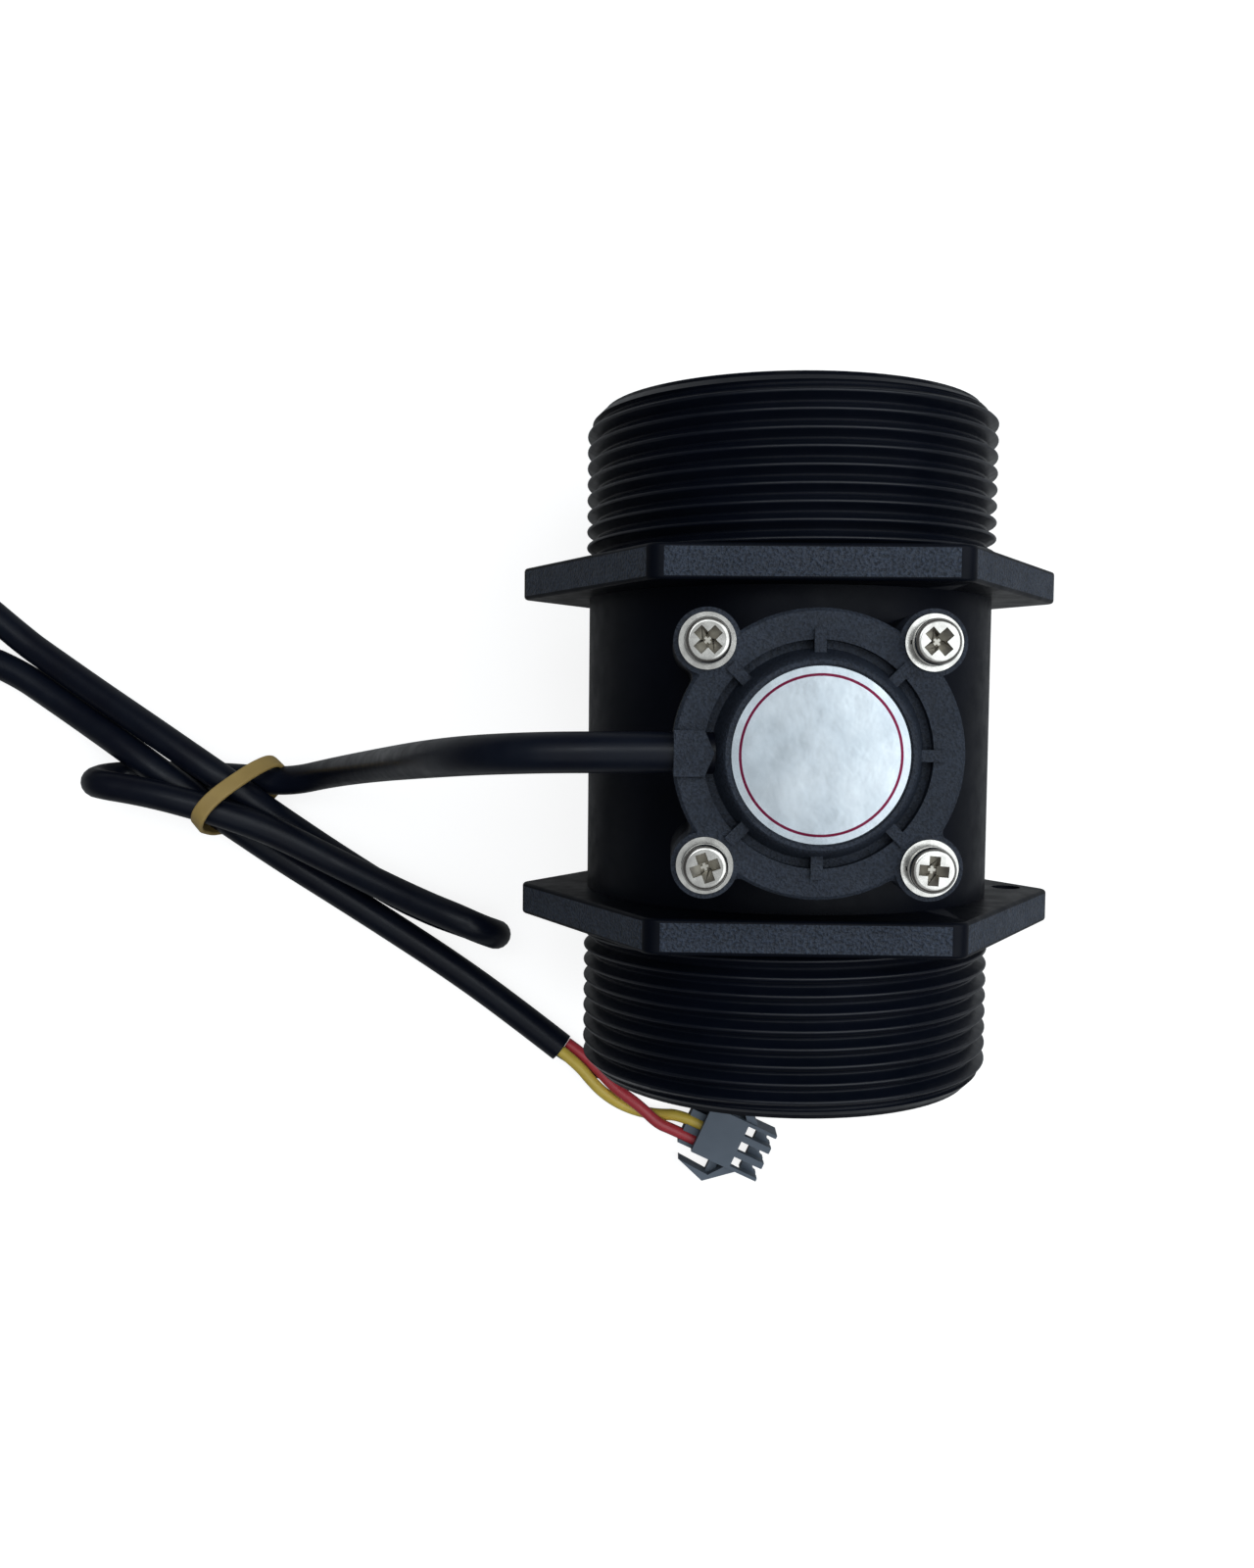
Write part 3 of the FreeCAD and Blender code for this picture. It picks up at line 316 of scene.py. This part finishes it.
# Spring washers much darker than the flat washers: partly dark steel, partly painted shade for
# the gap under each screw head.
dark_steel_and_gap_shade = plated(
    "dark_steel_and_gap_shade", (0.10, 0.10, 0.10), (0.18, 0.18, 0.175),
    rough=0.30, brush=0.12 * MM)
ground_steel = plated(
    "ground_steel", (0.50, 0.50, 0.51), (0.64, 0.64, 0.64),
    rough=0.28, brush=0.06 * MM, stretch=(1, 1, 8))
bush_brass = plated(
    "bush_brass", (0.55, 0.38, 0.15), (0.70, 0.50, 0.22),
    rough=0.30, brush=0.06 * MM, stretch=(1, 1, 8))
bare_copper = plated(
    "bare_copper", (0.62, 0.32, 0.17), (0.74, 0.42, 0.24),
    rough=0.32, brush=0.1 * MM)
tinned_brass = plated(
    "tinned_brass", (0.55, 0.48, 0.32), (0.68, 0.60, 0.42),
    rough=0.30, brush=0.1 * MM)
ferrite = plated(
    "ferrite", (0.04, 0.04, 0.043), (0.06, 0.06, 0.064),
    rough=0.50, brush=0.15 * MM)

RING_OUT, RING_HALF = 9.25 * MM, 0.16 * MM  # the printed ring's radius and half its width
RING_RED = (0.13, 0.005, 0.032, 1)


def foil_finish():
    """Silver foil with a thin printed ring and faint creases."""
    foil = new_finish("ringed_foil", (0.56, 0.61, 0.65), 0.34, 0.85)
    nodes, links = foil.node_tree.nodes, foil.node_tree.links
    shades = tint(foil, speckle(foil, 5 * MM, 4), (0.46, 0.51, 0.55), (0.53, 0.575, 0.61))
    place = nodes.new("ShaderNodeTexCoord")
    flat = nodes.new("ShaderNodeVectorMath")
    flat.operation = "MULTIPLY"
    flat.inputs[1].default_value = (1, 1, 0)
    out = nodes.new("ShaderNodeVectorMath")
    out.operation = "LENGTH"
    ring = nodes.new("ShaderNodeMath")
    ring.operation = "COMPARE"
    ring.inputs[1].default_value = RING_OUT
    ring.inputs[2].default_value = RING_HALF
    printed = nodes.new("ShaderNodeMix")
    printed.data_type = "RGBA"
    printed.inputs["B"].default_value = RING_RED
    links.new(place.outputs["Object"], flat.inputs[0])
    links.new(flat.outputs["Vector"], out.inputs[0])
    links.new(out.outputs["Value"], ring.inputs[0])
    links.new(ring.outputs["Value"], printed.inputs["Factor"])
    links.new(shades.outputs["Color"], printed.inputs["A"])
    shader = nodes["Principled BSDF"]
    links.new(printed.outputs["Result"], shader.inputs["Base Color"])
    between(foil, speckle(foil, 3 * MM, 4), 0.16, 0.26, "Roughness")
    emboss(foil, speckle(foil, 3.2 * MM, 3), 0.03 * MM)
    return foil


# ---------------------------------------------------------------- working on one piece at a time

def only(piece):
    """Make this the one piece that the next operators act on."""
    bpy.ops.object.select_all(action="DESELECT")
    piece.select_set(True)
    bpy.context.view_layer.objects.active = piece


def edit(piece):
    only(piece)
    bpy.ops.object.mode_set(mode="EDIT")
    bpy.ops.mesh.select_all(action="SELECT")


def done():
    bpy.ops.object.mode_set(mode="OBJECT")


def pick_points(piece, test):
    """In edit mode, select the points whose place passes the test, and what they bound."""
    bpy.ops.mesh.select_mode(type="VERT")
    bpy.ops.mesh.select_all(action="DESELECT")
    mesh = bmesh.from_edit_mesh(piece.data)
    for point in mesh.verts:
        point.select = test(point.co)
    mesh.select_flush_mode()
    bmesh.update_edit_mesh(piece.data)


def pick_faces(piece, test):
    """In edit mode, select the faces whose middle and direction pass the test."""
    bpy.ops.mesh.select_mode(type="FACE")
    bpy.ops.mesh.select_all(action="DESELECT")
    mesh = bmesh.from_edit_mesh(piece.data)
    for face in mesh.faces:
        face.select = test(face.calc_center_median(), face.normal)
    mesh.select_flush_mode()
    bmesh.update_edit_mesh(piece.data)


def apply(piece, modifier):
    only(piece)
    bpy.ops.object.modifier_apply(modifier=modifier.name)


def cut(piece, tool, how="DIFFERENCE"):
    """Cut a piece with a tool piece, which is then thrown away."""
    step = piece.modifiers.new("cut", "BOOLEAN")
    step.operation = how
    step.solver = "EXACT"
    step.material_mode = "TRANSFER"
    step.object = tool
    apply(piece, step)
    bpy.data.objects.remove(tool)


def smooth(piece, degrees=35):
    """Shade round faces smooth, with the large faces ruling at each point."""
    only(piece)
    bpy.ops.object.shade_smooth_by_angle(angle=math.radians(degrees))
    rule = piece.modifiers.new("large_faces", "WEIGHTED_NORMAL")
    rule.keep_sharp = True
    apply(piece, rule)


def soften(piece, width):
    """Round a merged CAD copy's sharp edges a little, as a mould leaves them."""
    edit(piece)
    bpy.ops.mesh.dissolve_limited(angle_limit=math.radians(0.2))
    done()
    edges = piece.modifiers.new("edges", "BEVEL")
    edges.width = width
    edges.segments = 2
    edges.limit_method = "ANGLE"
    edges.angle_limit = math.radians(40)
    edges.use_clamp_overlap = True
    apply(piece, edges)
    smooth(piece)


def settle(piece):
    """Put a piece's place and turn into its mesh."""
    only(piece)
    bpy.ops.object.transform_apply(location=True, rotation=True, scale=True)


def on_housing(piece, finish=None):
    if finish:
        piece.data.materials.clear()
        piece.data.materials.append(finish)
    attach(piece, "housing")


def copy_of_cad(node, name):
    """A merged copy of a CAD node, to be worked on."""
    piece = cad[node].copy()
    piece.data = cad[node].data.copy()
    piece.name = piece.data.name = name
    piece.parent = None
    for key in list(piece.keys()):
        del piece[key]
    scene.collection.objects.link(piece)
    edit(piece)
    bpy.ops.mesh.remove_doubles(threshold=0.002 * MM)
    done()
    return piece


# ---------------------------------------------------------------- lead, wires and band

CABLE_ROUTE = [
    (-8.6, 0, 76.55), (-26.6, 0, 76.55), (-39.1, -0.5, 74), (-48.6, -1.6, 63),
    (-62.6, -4, 31), (-74.4, -6.2, 10), (-82.3, -8, 4.2), (-88.4, -7.9, 3.5),
    (-94.7, -7.5, 3.2), (-101.8, -7.4, 2.6), (-108.8, -7.4, 2.5), (-112.7, -7.5, 2.5),
    (-115.4, -7.8, 5.2), (-115.4, -8.3, 9.1), (-112.7, -8.6, 11.8), (-107.7, -9.3, 12.2),
    (-102.3, -10.3, 12.8), (-96.6, -11.8, 12.7), (-92.1, -13.2, 12), (-84.4, -16.2, 10),
    (-74.4, -21.4, 8.6), (-64, -26, 10.2), (-57, -28.7, 12), (-52.8, -30.1, 13),
    (-49.3, -31.6, 13.2), (-46.5, -33.3, 10), (-46.5, -34.1, 5.7), (-49.4, -33.8, 2.5),
    (-53.5, -32.5, 2.5), (-58.6, -30.7, 2.5), (-65.5, -27.5, 2.5), (-75, -21.6, 2.6),
    (-82.5, -16.4, 3.8), (-87.6, -12.2, 6.7), (-91.9, -8.4, 9.1), (-96.9, -5, 9.2),
    (-105, 0.1, 7.8), (-116.3, 6.9, 5), (-125.3, 12.6, 3.2), (-130.7, 16.2, 2.6),
    (-152, 34.2, 2.5), (-166, 38.4, 2.5), (-179, 32, 2.5), (-183, 18.4, 2.5),
    (-175, 6.6, 2.5), (-161.5, 4.6, 2.5), (-149, 9.4, 2.5), (-138.8, 13.6, 2.5),
    (-130.7, 10, 2.7), (-125.3, 6.5, 3.2), (-118.2, 2.1, 4.6), (-110.3, -2.6, 7.2),
    (-104.1, -6.8, 8.1), (-98.8, -10.7, 7.3), (-96.3, -13, 5.6), (-92.8, -15.9, 3.8),
    (-84.6, -21.7, 2.5), (-75.1, -27.5, 2.5), (-65.5, -33.5, 2.5), (-55.8, -39.7, 2.5),
    (-46, -46.5, 2.5), (-35.5, -54.5, 2.5),
]
RED_ROUTE = [
    (-34.6, -53.73, 2.07), (-32.04, -55.4, 2.3), (-28.83, -58.26, 3.2), (-26, -61.25, 3.5),
    (-21.87, -64.12, 3.6), (-18.45, -67.5, 3.3), (-16.15, -68.6, 2.5), (-11.12, -70.87, 2.5),
]
YELLOW_ROUTE = [
    (-35.58, -54.73, 3.73), (-32.48, -57.13, 3.9), (-29.93, -60.28, 3.7), (-27.86, -62.48, 3),
    (-25.1, -64.63, 1.7), (-21.73, -66.1, 1.02), (-18.16, -66.56, 1.2), (-14.58, -66.07, 2.5),
    (-9.9, -68.18, 2.5),
]
BLACK_ROUTE = [
    (-35.98, -55.36, 1.7), (-32.88, -57.58, 1.12), (-29.07, -59.3, 1.12), (-24.74, -60.42, 1.12),
    (-20.28, -61.39, 1.12), (-16.97, -62.16, 1.5), (-14, -63.09, 2.5), (-8.69, -65.49, 2.5),
]


def lay_cord(node, route, thick, finish):
    """A round cord on one smooth line through the route, in place of its CAD tube."""
    line = bpy.data.curves.new(f"{node}_run", "CURVE")
    line.dimensions = "3D"
    run = line.splines.new("NURBS")
    run.points.add(len(route) - 1)
    for point, place in zip(run.points, route):
        point.co = (*(MM * part for part in place), 1)
    run.order_u = 3
    run.use_endpoint_u = True
    run.resolution_u = 16
    run.use_smooth = True
    line.bevel_depth = thick / 2
    line.bevel_resolution = 7
    line.use_fill_caps = True
    cord = bpy.data.objects.new(f"{node}_run", line)
    scene.collection.objects.link(cord)
    on_housing(cord, finish)
    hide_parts(node)
    return cord


def lay_lead(band, plug):
    """The cable and the three wires, each a cord fixed to the housing."""
    cable = lay_cord("cable", CABLE_ROUTE, 5 * MM, jacket_black)
    wires = (
        ("red_wire", RED_ROUTE, "red", red_sheath),
        ("yellow_wire", YELLOW_ROUTE, "yellow", yellow_sheath),
        ("black_wire", BLACK_ROUTE, "black", jacket_black),
    )
    for node, route, slot, finish in wires:
        wire = lay_cord(node, route, 2 * MM, finish)


BAND_LOOP = [  # over the strands, down beside them, along the floor below them and up
    (-84.9, -5.1, 3.4), (-85.4, -4.3, 6), (-87.1, -5.4, 9.6), (-89.1, -7.1, 12.4),
    (-91.9, -9.5, 14.9), (-94, -11.7, 15.9), (-95.6, -13.9, 15.1), (-96.7, -15.3, 12),
    (-97, -15.9, 8.5), (-96.9, -16.5, 5), (-96.3, -16.5, 1.8), (-95, -16.1, 0.5),
    (-91.9, -14.5, 0.5), (-88.5, -11.1, 0.5), (-86, -8.5, 0.5), (-84.9, -6.7, 1.1),
]
BAND_TURN = math.radians(25)  # turns the band flat on the strands
FLOOR_TURN = math.radians(50)  # turns its lower run flat on the floor


def tie_band():
    """The flat rubber band, stretched round the four strands."""
    line = bpy.data.curves.new("stretched_band", "CURVE")
    line.dimensions = "3D"
    loop = line.splines.new("NURBS")
    loop.points.add(len(BAND_LOOP) - 1)
    for point, place in zip(loop.points, BAND_LOOP):
        point.co = (*(MM * part for part in place), 1)
        point.tilt = BAND_TURN if place[2] > 1 else FLOOR_TURN
    loop.order_u = 3
    loop.use_cyclic_u = True
    loop.resolution_u = 6
    loop.use_smooth = True
    line.extrude = 1.0 * MM
    line.bevel_depth = 0.4 * MM
    line.bevel_resolution = 3
    band = bpy.data.objects.new("stretched_band", line)
    scene.collection.objects.link(band)
    only(band)
    bpy.ops.object.convert(target="MESH")
    band = bpy.context.object
    on_housing(band, tan_rubber)
    smooth(band, 60)
    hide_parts("rubber_band")
    return band


# ---------------------------------------------------------------- body and its threads

def off_axis(point):
    """How far a point is from the pipe's axis."""
    return math.hypot(point.x, point.z - PIPE_AXIS)


def beyond_flange(point):
    """On an end's threaded outside, past the wrench flange."""
    return abs(point.y) > THREAD_START - 0.01 * MM and off_axis(point) > 29 * MM


def at_end_rim(point):
    """On the outer edge of an end face, after the core is narrowed."""
    return abs(point.y) > END_FACE - 0.05 * MM and off_axis(point) > 28 * MM


def on_hex_flat(middle, facing):
    """On one of the six wrench flats, and not on a rounded corner between two of them."""
    if abs(facing.y) > 0.05 or not FLANGE_IN < abs(middle.y) < THREAD_START:
        return False
    around = math.degrees(math.atan2(facing.x, facing.z)) % 60
    outward = middle.x * facing.x + (middle.z - PIPE_AXIS) * facing.z
    return min(around, 60 - around) < 0.5 and outward > 34 * MM


def make_body():
    """The CAD body with its ends narrowed to the threads' core and its flats pebbled."""
    body = copy_of_cad("body", "threaded_body")
    edit(body)
    for side in (1, -1):
        bpy.ops.mesh.select_all(action="SELECT")
        bpy.ops.mesh.bisect(plane_co=(0, side * THREAD_START, 0), plane_no=(0, 1, 0),
                            threshold=0.001 * MM)
    pick_points(body, beyond_flange)
    bpy.ops.transform.resize(value=(ROOT / CREST, 1, ROOT / CREST),
                             center_override=(0, 0, PIPE_AXIS))
    pick_points(body, at_end_rim)
    bpy.ops.transform.resize(value=(LEAD_IN / ROOT, 1, LEAD_IN / ROOT),
                             center_override=(0, 0, PIPE_AXIS))
    done()
    on_housing(body, black_smooth)
    body.data.materials.append(black_hex)
    edit(body)
    pick_faces(body, on_hex_flat)
    body.active_material_index = 1
    bpy.ops.object.material_slot_assign()
    done()
    smooth(body, 30)
    round_pipe(body)
    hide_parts("body")


def round_pipe(body):
    """Shade the pipe between the flanges as the true cylinder, however its faces are split."""
    mesh = body.data
    facing = [tuple(corner.vector) for corner in mesh.corner_normals]
    for face in mesh.polygons:
        places = [mesh.vertices[point].co for point in face.vertices]
        if all(abs(off_axis(p) - PIPE_OUT) < 0.02 * MM and abs(p.y) < FLANGE_IN + 0.05 * MM
               for p in places):
            for corner, p in zip(face.loop_indices, places):
                facing[corner] = (p.x / PIPE_OUT, 0, (p.z - PIPE_AXIS) / PIPE_OUT)
    mesh.normals_split_custom_set(facing)


RIDGE_TURNS = 12
TURNS_TO_TOP = 5.75  # from a ridge's start to a crest on top, near the thread's middle
UPPER_TOP, LOWER_TOP = 36.2 * MM, -36.4 * MM  # where along the pipe that crest is
RIDGE_INNER = 28.05 * MM  # sunk into the core
RIDGE_FOOT, RIDGE_WIDE = 0.29 * MM, 2.2 * MM  # how high and wide the sunk part is
RIDGE_FLANK = (  # radius in mm, and the width's share of the width below
    (28.385, 1.0 / 1.1), (28.4986, 0.873), (29.636, 0.281 / 0.873),
    (29.74, 0.19 / 0.281), (29.79, 0.1 / 0.19), (29.807, 0.4),
)


def make_ridge(name, top_crest, side):
    """One end's thread: a rounded ridge swept round the pipe and trimmed by the end's lead-in."""
    bpy.ops.object.select_all(action="DESELECT")
    bpy.ops.mesh.primitive_plane_add(size=1)
    ridge = bpy.context.object
    ridge.name = ridge.data.name = name
    edit(ridge)
    bpy.ops.transform.resize(value=(RIDGE_FOOT, RIDGE_WIDE, 1))
    bpy.ops.transform.translate(value=(RIDGE_INNER + RIDGE_FOOT / 2, 0, 0))
    reach = RIDGE_INNER + RIDGE_FOOT
    for rise, share in RIDGE_FLANK:
        pick_points(ridge, lambda point: point.x > reach - 0.001 * MM)
        bpy.ops.mesh.extrude_region_move(
            TRANSFORM_OT_translate={"value": (rise * MM - reach, 0, 0)})
        bpy.ops.transform.resize(value=(1, share, 1))
        reach = rise * MM
    bpy.ops.mesh.select_all(action="SELECT")
    bpy.ops.mesh.dissolve_faces()
    bpy.ops.mesh.delete(type="ONLY_FACE")
    bpy.ops.mesh.select_all(action="SELECT")
    bpy.ops.transform.translate(value=(0, top_crest - TURNS_TO_TOP * PITCH, 0))
    done()
    turns = ridge.modifiers.new("turns", "SCREW")
    turns.axis = "Y"
    turns.screw_offset = PITCH
    turns.iterations = RIDGE_TURNS
    turns.steps = turns.render_steps = 96
    apply(ridge, turns)
    edit(ridge)
    bpy.ops.mesh.remove_doubles(threshold=0.0005 * MM)
    bpy.ops.mesh.select_all(action="DESELECT")
    bpy.ops.mesh.select_mode(type="EDGE")
    bpy.ops.mesh.select_non_manifold(extend=False)
    bpy.ops.mesh.edge_face_add()
    bpy.ops.mesh.select_all(action="SELECT")
    bpy.ops.mesh.normals_make_consistent(inside=False)
    bpy.ops.transform.translate(value=(0, 0, PIPE_AXIS))
    done()
    cut(ridge, make_blank(side), "INTERSECT")
    on_housing(ridge, black_thread)
    smooth(ridge, 40)


def make_blank(side):
    """The plain turned outside that a thread is cut on: a cylinder with a conical lead-in."""
    near = 22.5 * MM  # inside the wrench flange
    wide = 29.9 * MM  # just clear of the crests
    nose = 2.5 * MM  # length of the lead-in
    bpy.ops.object.select_all(action="DESELECT")
    bpy.ops.mesh.primitive_cylinder_add(
        vertices=192, radius=wide, depth=THREAD_END - near, rotation=(math.pi / 2, 0, 0),
        location=(0, side * (near + THREAD_END) / 2, PIPE_AXIS))
    blank = bpy.context.object
    settle(blank)
    edit(blank)
    pick_faces(blank, lambda middle, facing: facing.y * side > 0.9)
    bpy.ops.mesh.extrude_region_move(TRANSFORM_OT_translate={"value": (0, side * nose, 0)})
    bpy.ops.transform.resize(value=(LEAD_IN / wide, 1, LEAD_IN / wide),
                             center_override=(0, 0, PIPE_AXIS))
    done()
    return blank


# ---------------------------------------------------------------- screws on the cap

HEAD_OUT, HEAD_HIGH, HEAD_ROUND = 2.7 * MM, 1.9 * MM, 0.65 * MM
SHANK_OUT, SHANK_LONG, SHANK_TIP = 1.45 * MM, 13.4 * MM, 0.7 * MM
WING_LONG, WING_WIDE, WING_DEEP = 5.3 * MM, 1.5 * MM, 2.4 * MM  # of the cross recess
WING_MIDDLE = 1.6 * MM  # its height above the head's seat
POINT_LONG, POINT_WIDE = 0.06, 0.6  # the shares of its length and width left at its bottom


def make_screw():
    """One cross-recessed pan screw at the origin, seated at its washer's top."""
    bpy.ops.object.select_all(action="DESELECT")
    bpy.ops.mesh.primitive_cylinder_add(vertices=64, radius=HEAD_OUT, depth=HEAD_HIGH,
                                        location=(0, 0, HEAD_HIGH / 2))
    screw = bpy.context.object
    settle(screw)
    edit(screw)
    pick_faces(screw, lambda middle, facing: facing.z > 0.9)
    bpy.ops.mesh.bevel(offset=HEAD_ROUND, segments=6)
    pick_faces(screw, lambda middle, facing: facing.z < -0.9)
    bpy.ops.mesh.inset(thickness=HEAD_OUT - SHANK_OUT)
    bpy.ops.mesh.extrude_region_move(TRANSFORM_OT_translate={"value": (0, 0, -SHANK_LONG)})
    bpy.ops.mesh.extrude_region_move(TRANSFORM_OT_translate={"value": (0, 0, -SHANK_TIP)})
    bpy.ops.transform.resize(value=(0.5, 0.5, 1))
    done()
    screw.data.materials.append(nickel)
    for turn in (0, 90):
        cut(screw, make_driver_wing(turn))
    return screw


def make_driver_wing(turn):
    """One tapered wing of the cross that is pressed into a screw's head."""
    bpy.ops.object.select_all(action="DESELECT")
    bpy.ops.mesh.primitive_cube_add(size=1, location=(0, 0, WING_MIDDLE),
                                    rotation=(0, 0, math.radians(turn)))
    wing = bpy.context.object
    wing.scale = (WING_LONG, WING_WIDE, WING_DEEP)
    # The recess walls take the darker nickel, which is painted shade.
    wing.data.materials.append(shaded_recess_nickel)
    settle(wing)
    edit(wing)
    pick_faces(wing, lambda middle, facing: facing.z < -0.9)
    if turn == 0:
        bpy.ops.transform.resize(value=(POINT_LONG, POINT_WIDE, 1))
    else:
        bpy.ops.transform.resize(value=(POINT_WIDE, POINT_LONG, 1))
    done()
    return wing


def fit_screws():
    """Four screws in the cap's ears, each turned as it was tightened."""
    pattern = make_screw()
    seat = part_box("cover_screws")[1].z - HEAD_HIGH
    for name, x, y, turn in (("screw_upper_left", -1, 1, 45), ("screw_upper_right", 1, 1, 42),
                             ("screw_lower_left", -1, -1, 20), ("screw_lower_right", 1, -1, -4)):
        screw = pattern.copy()
        screw.data = pattern.data.copy()
        screw.name = screw.data.name = name
        scene.collection.objects.link(screw)
        screw.location = (x * SCREW_OUT, y * SCREW_OUT, seat)
        screw.rotation_euler = (0, 0, math.radians(turn))
        settle(screw)
        on_housing(screw)
        smooth(screw, 38)
        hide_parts("cover_screws")
    bpy.data.objects.remove(pattern)


# ---------------------------------------------------------------- cap and plug

def make_cap():
    """The cap with its CAD shape and slightly rounded edges."""
    cap = copy_of_cad("cap", "sensor_cap")
    soften(cap, 0.15 * MM)
    on_housing(cap, black_cap)
    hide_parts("cap")


PLUG_REAR = (-10.75 * MM, -67.8 * MM)  # middle of the plug's rear, on the floor
PLUG_TURN = math.radians(-24.3)  # its way forward, turned from +X
OPENING_AHEAD, OPENING_ASIDE, OPENING_UP = 8.35 * MM, -4.15 * MM, 1.65 * MM  # from the rear
OPENING_SIZE = (2.2 * MM, 0.9 * MM, 3.8 * MM)


def make_plug():
    """The plug, with the hollow below its windows open through the outer side wall."""
    plug = copy_of_cad("connector_housing", "plug_housing")
    along, across = math.cos(PLUG_TURN), math.sin(PLUG_TURN)
    place = (PLUG_REAR[0] + OPENING_AHEAD * along - OPENING_ASIDE * across,
             PLUG_REAR[1] + OPENING_AHEAD * across + OPENING_ASIDE * along, OPENING_UP)
    bpy.ops.object.select_all(action="DESELECT")
    bpy.ops.mesh.primitive_cube_add(size=1, rotation=(0, 0, PLUG_TURN), location=place)
    opening = bpy.context.object
    opening.scale = OPENING_SIZE
    settle(opening)
    cut(plug, opening)
    soften(plug, 0.1 * MM)
    on_housing(plug, plug_grey)
    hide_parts("connector_housing")
    return plug


# ---------------------------------------------------------------- finishes on the CAD nodes

def dress_cad():
    """Finishes for the CAD pieces that are shown as they are."""
    finishes = {
        # The spring washers' dark colour is partly painted shade of the gap under the screw
        # heads.
        "label": foil_finish(), "flat_washers": nickel, "spring_washers": dark_steel_and_gap_shade,
        "cap_o_ring": seal_rubber, "rotor_cage": cage_black, "impeller": wheel_white,
        "rotor_magnets": ferrite, "rotor_shaft": ground_steel, "lower_bush": bush_brass,
        "upper_bush": bush_brass, "lower_thrust_washer": waxy_white,
        "upper_thrust_washer": waxy_white, "hall_board": board_green, "hall_sensor": chip_black,
        "board_components": chip_black, "board_leads": bare_copper, "potting": cast_resin,
        "connector_contacts": tinned_brass,
    }
    for node, finish in finishes.items():
        for holder in cad[node].material_slots:
            holder.material = finish


place_camera()
lay_floor()
light_studio()
lay_lead(tie_band(), make_plug())
make_body()
make_ridge("upper_thread", UPPER_TOP, side=1)
make_ridge("lower_thread", LOWER_TOP, side=-1)
fit_screws()
make_cap()
dress_cad()

scene.view_settings.view_transform = "Standard"
